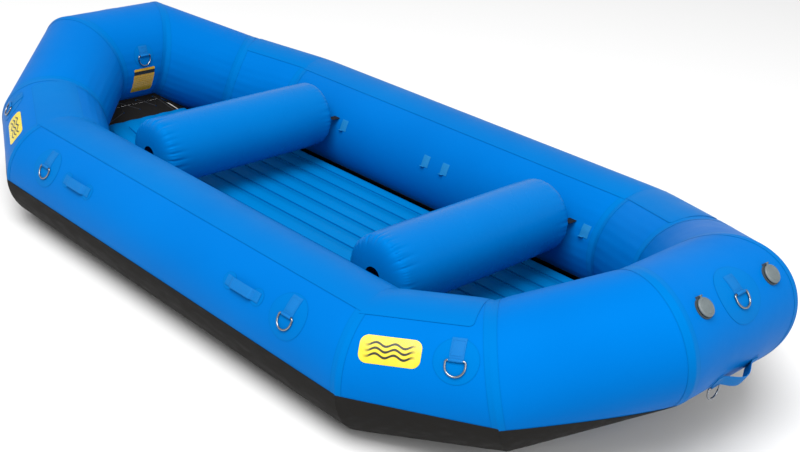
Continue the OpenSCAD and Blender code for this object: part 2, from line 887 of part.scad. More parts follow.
d_ring(6);  // ring_shoulder_rear_left
d_ring(7);  // ring_shoulder_rear_right
d_ring(8);  // ring_bow_upper
d_ring(9);  // ring_bow_lower
d_ring(10);  // ring_stern_upper
d_ring(11);  // ring_stern_lower
d_ring(12);  // ring_stern_inner
ring_webbing();
patches();
grab_handles();
valve_bodies();
valve_springs();
valve_cap(0);  // valve_cap_bow_left
valve_cap(1);  // valve_cap_bow_right
valve_cap(2);  // valve_cap_stern_left
valve_cap(3);  // valve_cap_stern_right
plunger(0);  // plunger_bow_left
plunger(1);  // plunger_bow_right
plunger(2);  // plunger_stern_left
plunger(3);  // plunger_stern_right
small_valve_bodies();
small_cap_on_thwart(1);  // small_cap_thwart_front
small_cap_on_thwart(-1);  // small_cap_thwart_rear
small_cap_on_floor();  // small_cap_floor
decals();
info_label();
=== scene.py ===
"""Looks of a self-bailing inflatable river raft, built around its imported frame.

The hull is a ring of twelve mitred air tubes. Everything that is glued to it is modelled flat,
as it is cut from the roll, and then laid on the tube that carries it.
"""

import logging
import math
from dataclasses import dataclass, field
from enum import Enum
from typing import Any, Callable

import bmesh
import bpy
import numpy as np
from mathutils import Matrix, Vector


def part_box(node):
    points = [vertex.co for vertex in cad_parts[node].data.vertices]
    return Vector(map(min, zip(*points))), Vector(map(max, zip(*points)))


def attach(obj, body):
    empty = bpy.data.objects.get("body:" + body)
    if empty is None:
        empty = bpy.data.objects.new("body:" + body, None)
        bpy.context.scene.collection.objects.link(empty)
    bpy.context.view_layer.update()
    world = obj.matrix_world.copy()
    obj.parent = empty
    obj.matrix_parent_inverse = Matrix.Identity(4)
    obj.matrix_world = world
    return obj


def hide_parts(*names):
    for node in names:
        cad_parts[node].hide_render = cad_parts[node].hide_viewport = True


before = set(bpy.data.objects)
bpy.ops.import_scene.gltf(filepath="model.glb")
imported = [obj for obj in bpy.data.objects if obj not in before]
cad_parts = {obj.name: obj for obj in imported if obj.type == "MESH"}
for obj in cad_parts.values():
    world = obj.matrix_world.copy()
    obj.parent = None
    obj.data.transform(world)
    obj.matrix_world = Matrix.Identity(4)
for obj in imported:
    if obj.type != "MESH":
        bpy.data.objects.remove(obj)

LOG = logging.getLogger("raft")
UP = np.array([0.0, 0.0, 1.0])
GLUE = 0.0003
ROW = 0.008


class Slot(Enum):
    """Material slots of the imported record."""

    HULL = "hull_fabric"
    TAPE = "tape_fabric"
    FLOOR = "floor_fabric"
    WEAR = "wear_fabric"
    BLUE_WEBBING = "blue_webbing"
    BLACK_WEBBING = "black_webbing"
    STEEL = "ring_steel"
    SPRING = "spring_wire"
    VALVE_GREY = "valve_grey"
    VALVE_BLACK = "valve_black"
    CORD = "lace_cord"
    BADGE = "badge_vinyl"
    LABEL = "label_vinyl"


class Kind(Enum):
    """Kinds of hull tube, numbered from the side to the end of the raft."""

    SIDE = 0
    SHOULDER = 1
    CORNER = 2
    END = 3


# ---------------------------------------------------------------- finishes


def linear(colour: str) -> tuple[float, float, float, float]:
    """Turns an sRGB hex colour into linear red, green, blue and alpha.

    Args:
        colour: Six hex digits after a #.

    Returns:
        The linear colour, with an alpha of 1.
    """
    parts = [int(colour[k : k + 2], 16) / 255 for k in (1, 3, 5)]
    turned = [c / 12.92 if c <= 0.04045 else ((c + 0.055) / 1.055) ** 2.4 for c in parts]
    return (*turned, 1.0)


def add_node(
    tree: bpy.types.NodeTree,
    kind: str,
    settings: dict[str, Any] | None = None,
    inputs: dict[str | int, Any] | None = None,
) -> bpy.types.Node:
    """Adds a node with its settings, its input values and its links.

    Args:
        tree: The node tree to add to.
        kind: The node's type name.
        settings: Properties to set on the node.
        inputs: For each input socket, a value or the output socket that feeds it.

    Returns:
        The new node.
    """
    node = tree.nodes.new(kind)
    for key, value in (settings or {}).items():
        setattr(node, key, value)
    for key, value in (inputs or {}).items():
        if isinstance(value, bpy.types.NodeSocket):
            tree.links.new(value, node.inputs[key])
        else:
            node.inputs[key].default_value = value
    return node


def reckon(
    tree: bpy.types.NodeTree, operation: str, first: Any, second: Any = 0.0
) -> bpy.types.NodeSocket:
    """Adds one step of arithmetic.

    Args:
        tree: The node tree to add to.
        operation: The Math node's operation.
        first: A number or the socket that gives it.
        second: A number or the socket that gives it.

    Returns:
        The result.
    """
    return add_node(tree, "ShaderNodeMath", {"operation": operation}, {0: first, 1: second}).outputs[0]


@dataclass(frozen=True)
class Finish:
    """A surface finish, which makes its material once and then hands it out again."""

    name: str
    colour: str

    def material(self) -> bpy.types.Material:
        """Returns the finish's material, made on first use."""
        made = bpy.data.materials.get(self.name)
        if made is None:
            made = bpy.data.materials.new(self.name)
            made.use_nodes = True
            made.node_tree.nodes.clear()
            shader = add_node(made.node_tree, "ShaderNodeBsdfPrincipled")
            add_node(made.node_tree, "ShaderNodeOutputMaterial", inputs={"Surface": shader.outputs["BSDF"]})
            self.wire(made.node_tree, shader)
        return made

    def wire(self, tree: bpy.types.NodeTree, shader: bpy.types.Node) -> None:
        """Sets the shader up; each finish does this its own way.

        Args:
            tree: The material's node tree.
            shader: Its Principled shader.
        """
        raise NotImplementedError

    @staticmethod
    def noise(
        tree: bpy.types.NodeTree, place: bpy.types.NodeSocket, size: float, detail: float = 3.0
    ) -> bpy.types.NodeSocket:
        """Adds noise whose features are about a given size.

        Args:
            tree: The node tree.
            place: The coordinates that the noise reads.
            size: Feature size in metres.
            detail: Octaves of finer noise.

        Returns:
            The noise's value.
        """
        node = add_node(
            tree, "ShaderNodeTexNoise", inputs={"Vector": place, "Scale": 1 / size, "Detail": detail}
        )
        return node.outputs["Fac"]

    @staticmethod
    def spread(
        tree: bpy.types.NodeTree,
        value: bpy.types.NodeSocket,
        source: tuple[float, float],
        target: tuple[float, float],
    ) -> bpy.types.NodeSocket:
        """Maps a value from one range to another, clamped at both ends.

        Args:
            tree: The node tree.
            value: The value to map.
            source: Its lowest and highest value.
            target: The values that these become.

        Returns:
            The mapped value.
        """
        inputs = {"Value": value, 1: source[0], 2: source[1], 3: target[0], 4: target[1]}
        return add_node(tree, "ShaderNodeMapRange", inputs=inputs).outputs["Result"]

    @staticmethod
    def blended(
        tree: bpy.types.NodeTree, share: bpy.types.NodeSocket, first: Any, second: Any
    ) -> bpy.types.NodeSocket:
        """Mixes two colours.

        Args:
            tree: The node tree.
            share: How much of the second colour shows.
            first: A colour or a colour socket.
            second: A colour or a colour socket.

        Returns:
            The mixed colour.
        """
        mix = add_node(tree, "ShaderNodeMix", {"data_type": "RGBA"}, {0: share, 6: first, 7: second})
        return mix.outputs[2]

    @staticmethod
    def bump(
        tree: bpy.types.NodeTree,
        height: bpy.types.NodeSocket,
        depth: float,
        below: bpy.types.NodeSocket | None = None,
    ) -> bpy.types.NodeSocket:
        """Turns a height into a bumped normal.

        Args:
            tree: The node tree.
            height: The height, from 0 to 1.
            depth: How far the surface rises for a height of 1, in metres.
            below: The normal of a coarser bump under this one.

        Returns:
            The bumped normal.
        """
        inputs: dict[str | int, Any] = {"Height": height, "Distance": depth, "Strength": 1.0}
        if below is not None:
            inputs["Normal"] = below
        return add_node(tree, "ShaderNodeBump", inputs=inputs).outputs["Normal"]


@dataclass(frozen=True)
class CoatedFabric(Finish):
    """PVC-coated polyester, calendered: a satin, slightly uneven plastic skin over a fine weave."""

    deep: str = "#005096"
    roughness: float = 0.42
    sheen_colour: str = "#0098ff"
    # Darker blue and its strongest share for the painted shade of the small step along glued edges.
    edge_shade_colour: str = "#003f74"
    edge_shade_share: float = 0.35
    drift_size: float = 0.7
    drift_share: float = 0.3
    specular: float = 0.03
    grain: float = 0.003
    grain_depth: float = 0.00006
    swell: float = 0.09
    swell_depth: float = 0.0012

    def wire(self, tree: bpy.types.NodeTree, shader: bpy.types.Node) -> None:
        """Wires slow colour drift, painted shade along glued edges, satin patches and two bumps.

        Args:
            tree: The material's node tree.
            shader: Its Principled shader.
        """
        place = add_node(tree, "ShaderNodeTexCoord").outputs["Object"]
        slow = self.noise(tree, place, self.drift_size)
        drift = self.spread(tree, slow, (0.35, 0.7), (0.0, self.drift_share))
        body = self.blended(tree, drift, linear(self.colour), linear(self.deep))
        # Glued edges of tapes, chafers and patches take the darker blue: painted shade of their small edge
        # step.
        edge_shade = add_node(tree, "ShaderNodeAttribute", {"attribute_name": "edge_shade"}).outputs["Fac"]
        edge = self.spread(tree, edge_shade, (0.0, 1.0), (0.0, self.edge_shade_share))
        edge_shaded = self.blended(tree, edge, body, linear(self.edge_shade_colour))
        tree.links.new(edge_shaded, shader.inputs["Base Color"])
        patchy = self.noise(tree, place, 0.11, 5.0)
        gloss = self.spread(tree, patchy, (0.3, 0.7), (self.roughness - 0.04, self.roughness + 0.05))
        tree.links.new(gloss, shader.inputs["Roughness"])
        swells = self.bump(tree, self.noise(tree, place, self.swell, 2.0), self.swell_depth)
        grain = self.bump(tree, self.noise(tree, place, self.grain, 2.0), self.grain_depth, swells)
        tree.links.new(grain, shader.inputs["Normal"])
        shader.inputs["Specular IOR Level"].default_value = self.specular
        shader.inputs["Specular Tint"].default_value = linear(self.sheen_colour)


@dataclass(frozen=True)
class WearFabric(Finish):
    """Synthetic-rubber wear fabric, embossed and matt: charcoal, dusty and scuffed low down."""

    worn: str = "#22201d"
    scuff_size: float = 0.09
    emboss: float = 0.006
    emboss_depth: float = 0.0004

    def wire(self, tree: bpy.types.NodeTree, shader: bpy.types.Node) -> None:
        """Wires dusty scuffs and a pebbled emboss.

        Args:
            tree: The material's node tree.
            shader: Its Principled shader.
        """
        place = add_node(tree, "ShaderNodeTexCoord").outputs["Object"]
        stretched = add_node(tree, "ShaderNodeMapping", inputs={"Vector": place, "Scale": (1.0, 3.0, 3.0)})
        scuffs = self.noise(tree, stretched.outputs["Vector"], self.scuff_size, 7.0)
        dust = self.spread(tree, scuffs, (0.48, 0.8), (0.0, 0.5))
        dusty = self.blended(tree, dust, linear(self.colour), linear(self.worn))
        tree.links.new(dusty, shader.inputs["Base Color"])
        tree.links.new(self.spread(tree, scuffs, (0.3, 0.7), (0.58, 0.8)), shader.inputs["Roughness"])
        cells = {"Vector": place, "Scale": 1 / self.emboss}
        pebble = add_node(tree, "ShaderNodeTexVoronoi", {"feature": "SMOOTH_F1"}, cells)
        raised = self.bump(tree, pebble.outputs["Distance"], self.emboss_depth)
        tree.links.new(raised, shader.inputs["Normal"])
        shader.inputs["Specular IOR Level"].default_value = 0.07


@dataclass(frozen=True)
class Webbing(Finish):
    """Flat woven nylon webbing: cross ribs with a soft sheen. Its threads are drawn at 2.4 mm."""

    rib: float = 0.0024
    shade: str = "#005890"
    weave_depth: float = 0.0004

    def wire(self, tree: bpy.types.NodeTree, shader: bpy.types.Node) -> None:
        """Wires ribs that follow the strap through its own map, with painted shade in the hollows between
        them.

        Args:
            tree: The material's node tree.
            shader: Its Principled shader.
        """
        cloth = add_node(tree, "ShaderNodeUVMap", {"uv_map": "cut"}).outputs["UV"]
        waves = [
            add_node(
                tree,
                "ShaderNodeTexWave",
                {"bands_direction": direction},
                {"Vector": cloth, "Scale": 1 / (pitch * 3.1), "Distortion": 0.3},
            ).outputs["Fac"]
            for direction, pitch in (("X", self.rib), ("Y", self.rib * 1.7))
        ]
        weave = reckon(tree, "MULTIPLY", waves[0], waves[1])
        # The weave's low places take the darker colour: painted shade between the ribs.
        shaded = self.spread(tree, weave, (0.0, 0.8), (0.55, 0.0))
        body = self.blended(tree, shaded, linear(self.colour), linear(self.shade))
        tree.links.new(body, shader.inputs["Base Color"])
        tree.links.new(self.bump(tree, weave, self.weave_depth), shader.inputs["Normal"])
        shader.inputs["Roughness"].default_value = 0.6
        shader.inputs["Specular IOR Level"].default_value = 0.12


@dataclass(frozen=True)
class PolishedWire(Finish):
    """Stainless steel wire, drawn and polished: a bright mirror with hairline scratches."""

    roughness: float = 0.16
    dull: str = "#8f9296"
    scratch: float = 0.0009
    scratch_depth: float = 0.00002

    def wire(self, tree: bpy.types.NodeTree, shader: bpy.types.Node) -> None:
        """Wires hairlines and finger marks.

        Args:
            tree: The material's node tree.
            shader: Its Principled shader.
        """
        place = add_node(tree, "ShaderNodeTexCoord").outputs["Object"]
        marks = self.noise(tree, place, 0.008, 6.0)
        gloss = self.spread(tree, marks, (0.3, 0.75), (self.roughness * 0.7, self.roughness * 1.9))
        tree.links.new(gloss, shader.inputs["Roughness"])
        touched = self.spread(tree, marks, (0.4, 0.8), (0.0, 0.4))
        dulled = self.blended(tree, touched, linear(self.colour), linear(self.dull))
        tree.links.new(dulled, shader.inputs["Base Color"])
        hair = self.noise(tree, place, self.scratch, 2.0)
        tree.links.new(self.bump(tree, hair, self.scratch_depth), shader.inputs["Normal"])
        shader.inputs["Metallic"].default_value = 1.0


@dataclass(frozen=True)
class MouldedNylon(Finish):
    """Injection-moulded nylon: an even satin grey with a fine spark-eroded texture."""

    roughness: float = 0.42
    edge_colour: str = "#5e5a54"

    def wire(self, tree: bpy.types.NodeTree, shader: bpy.types.Node) -> None:
        """Wires mould texture, faint flow marks and rubbed places.

        Args:
            tree: The material's node tree.
            shader: Its Principled shader.
        """
        place = add_node(tree, "ShaderNodeTexCoord").outputs["Object"]
        flow = self.noise(tree, place, 0.02, 4.0)
        rubbed = self.spread(tree, flow, (0.35, 0.7), (0.0, 0.5))
        body = self.blended(tree, rubbed, linear(self.colour), linear(self.edge_colour))
        tree.links.new(body, shader.inputs["Base Color"])
        gloss = self.spread(tree, flow, (0.3, 0.7), (self.roughness - 0.08, self.roughness + 0.1))
        tree.links.new(gloss, shader.inputs["Roughness"])
        texture = self.bump(tree, self.noise(tree, place, 0.0012, 2.0), 0.00005)
        tree.links.new(texture, shader.inputs["Normal"])


@dataclass(frozen=True)
class BraidedCord(Finish):
    """Braided polyester cord: diagonal strands, with painted highlights on the raised strands and painted
    shade between them.
    """

    strand: float = 0.0025

    def wire(self, tree: bpy.types.NodeTree, shader: bpy.types.Node) -> None:
        """Wires the strands' painted light and dark.

        Args:
            tree: The material's node tree.
            shader: Its Principled shader.
        """
        place = add_node(tree, "ShaderNodeTexCoord").outputs["Object"]
        strands = add_node(
            tree,
            "ShaderNodeTexWave",
            {"bands_direction": "DIAGONAL"},
            {"Vector": place, "Scale": 1 / (self.strand * 3.1), "Distortion": 1.0},
        ).outputs["Fac"]
        # Raised strands take the lighter colour and hollows the black: painted highlight and shade.
        body = self.blended(tree, strands, linear("#0b0c0e"), linear(self.colour))
        tree.links.new(body, shader.inputs["Base Color"])
        tree.links.new(self.bump(tree, strands, 0.0004), shader.inputs["Normal"])
        shader.inputs["Roughness"].default_value = 0.7


@dataclass(frozen=True)
class PrintedVinyl(Finish):
    """Printed cast vinyl: a glossy film in one colour with plain printed waves or lines."""

    ink: str = "#23221c"
    faded: str = "#d2c878"
    waves: bool = True
    size: tuple[float, float] = (0.216, 0.096)
    wave_turn: float = 95.0
    wave_rise: float = 0.006
    wave_pitch: float = 0.019
    wave_half: float = 0.0042
    rule_pitch: float = 0.006

    def wire(self, tree: bpy.types.NodeTree, shader: bpy.types.Node) -> None:
        """Wires the print on the film's own map, which is in metres from its middle.

        Args:
            tree: The material's node tree.
            shader: Its Principled shader.
        """
        film = add_node(tree, "ShaderNodeUVMap", {"uv_map": "cut"}).outputs["UV"]
        parts = add_node(tree, "ShaderNodeSeparateXYZ", inputs={"Vector": film})
        ink = self.wave_lines(tree, parts) if self.waves else self.text_lines(tree, parts)
        fade = self.spread(tree, self.noise(tree, film, 0.03, 4.0), (0.4, 0.8), (0.0, 0.18))
        base = self.blended(tree, fade, linear(self.colour), linear(self.faded))
        tree.links.new(self.blended(tree, ink, base, linear(self.ink)), shader.inputs["Base Color"])
        gloss = self.spread(tree, self.noise(tree, film, 0.01, 4.0), (0.3, 0.7), (0.22, 0.36))
        tree.links.new(gloss, shader.inputs["Roughness"])

    def band(
        self, tree: bpy.types.NodeTree, value: bpy.types.NodeSocket, middle: float, half: float
    ) -> bpy.types.NodeSocket:
        """Makes a soft-edged band where a value is close to a middle.

        Args:
            tree: The node tree.
            value: The value compared.
            middle: Where the band's middle is.
            half: Half the band's width.

        Returns:
            1 inside the band and 0 outside.
        """
        away = reckon(tree, "ABSOLUTE", reckon(tree, "SUBTRACT", value, middle))
        return self.spread(tree, away, (half * 0.85, half * 1.15), (1.0, 0.0))

    def wave_lines(self, tree: bpy.types.NodeTree, parts: bpy.types.Node) -> bpy.types.NodeSocket:
        """Draws three plain ripples across the badge, clear of its edge.

        Args:
            tree: The node tree.
            parts: The node that gives the film's x and y.

        Returns:
            The ink's share.
        """
        sine = reckon(tree, "SINE", reckon(tree, "MULTIPLY", parts.outputs["X"], self.wave_turn))
        level = reckon(tree, "SUBTRACT", parts.outputs["Y"], reckon(tree, "MULTIPLY", sine, self.wave_rise))
        ink = self.band(tree, level, -self.wave_pitch, self.wave_half)
        for middle in (0.0, self.wave_pitch):
            ink = reckon(tree, "MAXIMUM", ink, self.band(tree, level, middle, self.wave_half))
        inside = self.band(tree, parts.outputs["X"], 0.0, self.size[0] * 0.37)
        return reckon(tree, "MULTIPLY", ink, inside)

    def text_lines(self, tree: bpy.types.NodeTree, parts: bpy.types.Node) -> bpy.types.NodeSocket:
        """Draws plain rules across the label, with no wording.

        Args:
            tree: The node tree.
            parts: The node that gives the film's x and y.

        Returns:
            The ink's share.
        """
        rule = reckon(tree, "PINGPONG", parts.outputs["Y"], self.rule_pitch)
        thin = self.spread(tree, rule, (0.0007, 0.0011), (0.6, 0.0))
        inside = self.band(tree, parts.outputs["X"], 0.0, self.size[0] * 0.4)
        rules = reckon(tree, "MULTIPLY", thin, inside)
        header = self.band(tree, parts.outputs["Y"], self.size[1] * 0.34, self.size[1] * 0.07)
        return reckon(tree, "MAXIMUM", rules, header)


@dataclass(frozen=True)
class StudioPaper(Finish):
    """Seamless studio paper: an even, matt, pale sweep."""

    def wire(self, tree: bpy.types.NodeTree, shader: bpy.types.Node) -> None:
        """Sets a plain matt white.

        Args:
            tree: The material's node tree.
            shader: Its Principled shader.
        """
        shader.inputs["Base Color"].default_value = linear(self.colour)
        shader.inputs["Roughness"].default_value = 0.95
        shader.inputs["Specular IOR Level"].default_value = 0.0


HULL_FABRIC = CoatedFabric("coated_fabric_hull_blue", "#005fa9")
THWART_FABRIC = CoatedFabric("coated_fabric_thwart_blue", "#0061a6", roughness=0.27, specular=0.08)
TAPE_FABRIC = CoatedFabric("coated_fabric_tape_blue", "#0060a4", roughness=0.4)
FLOOR_FABRIC = CoatedFabric("coated_fabric_floor_blue", "#0066a6", deep="#005a96", roughness=0.44)
WEAR_FABRIC = WearFabric("embossed_wear_fabric_charcoal", "#191817")
BLUE_WEBBING = Webbing("coated_webbing_blue", "#0062a8")
# A lighter copy of the blue webbing for the tie tabs: painted highlight of their lit edges.
LIT_TAB_WEBBING = Webbing("coated_webbing_blue_painted_highlight", "#1a74ac", shade="#0e629a")
BLACK_WEBBING = Webbing("woven_webbing_black", "#1b1b1d", shade="#060607")
STEEL = PolishedWire("polished_stainless_wire", "#85898f")
SPRING_STEEL = PolishedWire("drawn_spring_wire", "#a9abae", roughness=0.3)
GREY_NYLON = MouldedNylon("moulded_nylon_grey", "#586163", edge_colour="#4a5254")
DARK_NYLON = MouldedNylon("moulded_nylon_dark_grey", "#3c4344", edge_colour="#333a3b")
BLACK_NYLON = MouldedNylon("moulded_nylon_black", "#1d1d1f", edge_colour="#2c2c2f")
LACE = BraidedCord("braided_lace_black", "#2b2d31")
BADGE_VINYL = PrintedVinyl("printed_vinyl_yellow", "#c2b024")
LABEL_VINYL = PrintedVinyl("printed_vinyl_amber", "#c89416", waves=False, size=(0.125, 0.146))
PAPER = StudioPaper("studio_paper_white", "#d2d2d2")


# ---------------------------------------------------------------- modelling steps


class Bench:
    """Modelling steps that the sub-assemblies share."""

    @staticmethod
    def clear() -> None:
        """Goes to object mode with nothing selected."""
        if bpy.context.mode != "OBJECT":
            bpy.ops.object.mode_set(mode="OBJECT")
        bpy.ops.object.select_all(action="DESELECT")

    @staticmethod
    def only(obj: bpy.types.Object) -> None:
        """Selects one object and makes it active."""
        Bench.clear()
        obj.select_set(True)
        bpy.context.view_layer.objects.active = obj

    @staticmethod
    def take(name: str) -> bpy.types.Object:
        """Names the object that was just added, and returns it."""
        obj = bpy.context.active_object
        obj.name = name
        obj.data.name = name
        return obj

    @staticmethod
    def points(obj: bpy.types.Object) -> np.ndarray:
        """Returns the object's points as an array of rows."""
        co = np.zeros(len(obj.data.vertices) * 3)
        obj.data.vertices.foreach_get("co", co)
        return co.reshape(-1, 3)

    @staticmethod
    def move(obj: bpy.types.Object, co: np.ndarray) -> None:
        """Moves the object's points to new places."""
        obj.data.vertices.foreach_set("co", np.ascontiguousarray(co, dtype=np.float32).ravel())
        obj.data.update()

    @staticmethod
    def edit(obj: bpy.types.Object, pick: Callable[[Any], bool] | None = None, kind: str = "VERT") -> None:
        """Opens an object in edit mode with the chosen elements selected.

        Args:
            obj: The object to edit.
            pick: Test that an element passes to be selected, or None for all of them.
            kind: VERT, EDGE or FACE.
        """
        Bench.only(obj)
        bpy.ops.object.mode_set(mode="EDIT")
        bpy.ops.mesh.select_mode(type=kind)
        bpy.ops.mesh.select_all(action="SELECT" if pick is None else "DESELECT")
        if pick is not None:
            mesh = bmesh.from_edit_mesh(obj.data)
            elements = {"VERT": mesh.verts, "EDGE": mesh.edges, "FACE": mesh.faces}[kind]
            for element in elements:
                if pick(element):
                    element.select_set(True)
            mesh.select_flush_mode()
            bmesh.update_edit_mesh(obj.data)

    @staticmethod
    def modify(obj: bpy.types.Object, kind: str, **settings: Any) -> None:
        """Adds a modifier and applies it.

        Args:
            obj: The object to change.
            kind: The modifier's type.
            **settings: Its settings.
        """
        Bench.only(obj)
        modifier = obj.modifiers.new(kind.lower(), kind)
        for key, value in settings.items():
            setattr(modifier, key, value)
        bpy.ops.object.modifier_apply(modifier=modifier.name)

    @staticmethod
    def grid(name: str, columns: int, rows: int) -> bpy.types.Object:
        """Adds a grid whose points run from 0 to 1 in X and in Y."""
        Bench.clear()
        bpy.ops.mesh.primitive_grid_add(
            x_subdivisions=columns, y_subdivisions=rows, size=1, location=(0.5, 0.5, 0)
        )
        bpy.ops.object.transform_apply(location=True, rotation=False, scale=False)
        return Bench.take(name)

    @staticmethod
    def sleeve(name: str, around: int, rings: int) -> bpy.types.Object:
        """Adds an open sleeve of radius 1 that runs from 0 to 1 in Z, cut into rings."""
        Bench.clear()
        bpy.ops.mesh.primitive_cylinder_add(
            vertices=around, radius=1, depth=1, end_fill_type="NOTHING", location=(0, 0, 0.5)
        )
        bpy.ops.object.transform_apply(location=True, rotation=False, scale=False)
        obj = Bench.take(name)
        Bench.edit(obj, lambda e: abs(e.verts[0].co.z - e.verts[1].co.z) > 0.5, "EDGE")
        bpy.ops.mesh.subdivide(number_cuts=rings - 1)
        bpy.ops.object.mode_set(mode="OBJECT")
        return obj

    @staticmethod
    def close(obj: bpy.types.Object, merge: float = 1e-6) -> None:
        """Merges doubled points, fills open ends and turns the faces outwards."""
        Bench.edit(obj)
        bpy.ops.mesh.remove_doubles(threshold=merge)
        bpy.ops.mesh.select_all(action="SELECT")
        bpy.ops.mesh.fill_holes(sides=0)
        bpy.ops.mesh.select_all(action="SELECT")
        bpy.ops.mesh.normals_make_consistent(inside=False)
        bpy.ops.object.mode_set(mode="OBJECT")

    @staticmethod
    def turned(name: str, profile: list[tuple[float, float]], steps: int = 64) -> bpy.types.Object:
        """Spins a profile of (radius, height) points round the Z axis into a closed solid."""
        mesh = bpy.data.meshes.new(name)
        rows = range(len(profile) - 1)
        mesh.from_pydata([(r, 0.0, z) for r, z in profile], [(k, k + 1) for k in rows], [])
        obj = bpy.data.objects.new(name, mesh)
        bpy.context.scene.collection.objects.link(obj)
        Bench.edit(obj)
        bpy.ops.mesh.spin(steps=steps, angle=2 * math.pi, center=(0, 0, 0), axis=(0, 0, 1))
        Bench.close(obj, 1e-5)
        return obj

    @staticmethod
    def copy(obj: bpy.types.Object, name: str) -> bpy.types.Object:
        """Copies an object with a mesh of its own."""
        twin = obj.copy()
        twin.data = obj.data.copy()
        twin.name = name
        twin.data.name = name
        bpy.context.scene.collection.objects.link(twin)
        return twin

    @staticmethod
    def join(objects: list[bpy.types.Object], name: str) -> bpy.types.Object:
        """Joins objects into one."""
        Bench.clear()
        for obj in objects:
            obj.select_set(True)
        bpy.context.view_layer.objects.active = objects[0]
        if len(objects) > 1:
            bpy.ops.object.join()
        return Bench.take(name)

    @staticmethod
    def block(
        name: str, size: tuple[float, float, float], middle: tuple[float, float, float], bevel: float = 0.0
    ) -> bpy.types.Object:
        """Adds a box of a given size with rounded edges."""
        Bench.clear()
        bpy.ops.mesh.primitive_cube_add(size=1, location=middle, scale=size)
        bpy.ops.object.transform_apply(location=True, rotation=False, scale=True)
        obj = Bench.take(name)
        if bevel:
            Bench.modify(obj, "BEVEL", width=bevel, segments=3, limit_method="ANGLE")
        return obj

    @staticmethod
    def slice_rows(obj: bpy.types.Object, half: float, pitch: float = ROW) -> None:
        """Cuts a flat piece into narrow rows across its Y so that it can follow a curve.

        Args:
            obj: The flat piece.
            half: Half the piece's width across the rows.
            pitch: Width of a row.
        """
        count = int(half / pitch)
        for k in range(-count, count + 1):
            Bench.edit(obj)
            bpy.ops.mesh.bisect(plane_co=(0, k * pitch, 0), plane_no=(0, 1, 0))
        bpy.ops.object.mode_set(mode="OBJECT")

    @staticmethod
    def round_angle(co: np.ndarray) -> np.ndarray:
        """Returns a sleeve point's angle round the tube above the outboard level."""
        return np.arctan2(-co[:, 0], co[:, 1]) - math.pi / 2

    @staticmethod
    def paint_edge_shade(obj: bpy.types.Object, values: np.ndarray) -> None:
        """Stores how close each point is to a glued edge, from 0 to 1, as the share of painted shade there.
        """
        edge_shade = obj.data.attributes.get("edge_shade") or obj.data.attributes.new("edge_shade", "FLOAT", "POINT")
        edge_shade.data.foreach_set("value", values.astype(np.float32))

    @staticmethod
    def map_cut(obj: bpy.types.Object, flat: np.ndarray) -> None:
        """Gives the piece its flat cut as a map in metres.

        Args:
            obj: The piece.
            flat: The flat place of each point, in two columns.
        """
        layer = obj.data.uv_layers.get("cut") or obj.data.uv_layers.new(name="cut")
        corner = np.zeros(len(obj.data.loops), dtype=np.int32)
        obj.data.loops.foreach_get("vertex_index", corner)
        layer.data.foreach_set("uv", flat[corner].astype(np.float32).ravel())


def dress(
    obj: bpy.types.Object,
    finish: Finish,
    body: str = "hull",
    nodes: tuple[str, ...] = (),
    crease: float = 35.0,
) -> None:
    """Smooths a finished piece, gives it its material and hangs it on its body.

    Args:
        obj: The finished piece.
        finish: The finish of its whole surface.
        body: The body that it rides on.
        nodes: The frame's nodes that it replaces.
        crease: Edges sharper than this many degrees stay sharp.
    """
    Bench.only(obj)
    bpy.ops.object.shade_smooth_by_angle(angle=math.radians(crease))
    obj.data.materials.clear()
    obj.data.materials.append(finish.material())
    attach(obj, body)
    if nodes:
        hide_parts(*nodes)
    LOG.info("%s: %d faces, %s", obj.name, len(obj.data.polygons), finish.name)


def dress_node(name: str, finish: Finish) -> None:
    """Gives a node of the frame its real finish.

    Args:
        name: The node, which keeps its shape.
        finish: Its finish.
    """
    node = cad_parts[name]
    node.data.materials.clear()
    node.data.materials.append(finish.material())
    LOG.info("%s: kept, %s", name, finish.name)


# ---------------------------------------------------------------- the hull's ring


def unit(v: np.ndarray) -> np.ndarray:
    """Returns a vector, or each row of vectors, at length 1."""
    return v / np.linalg.norm(v, axis=-1, keepdims=True)


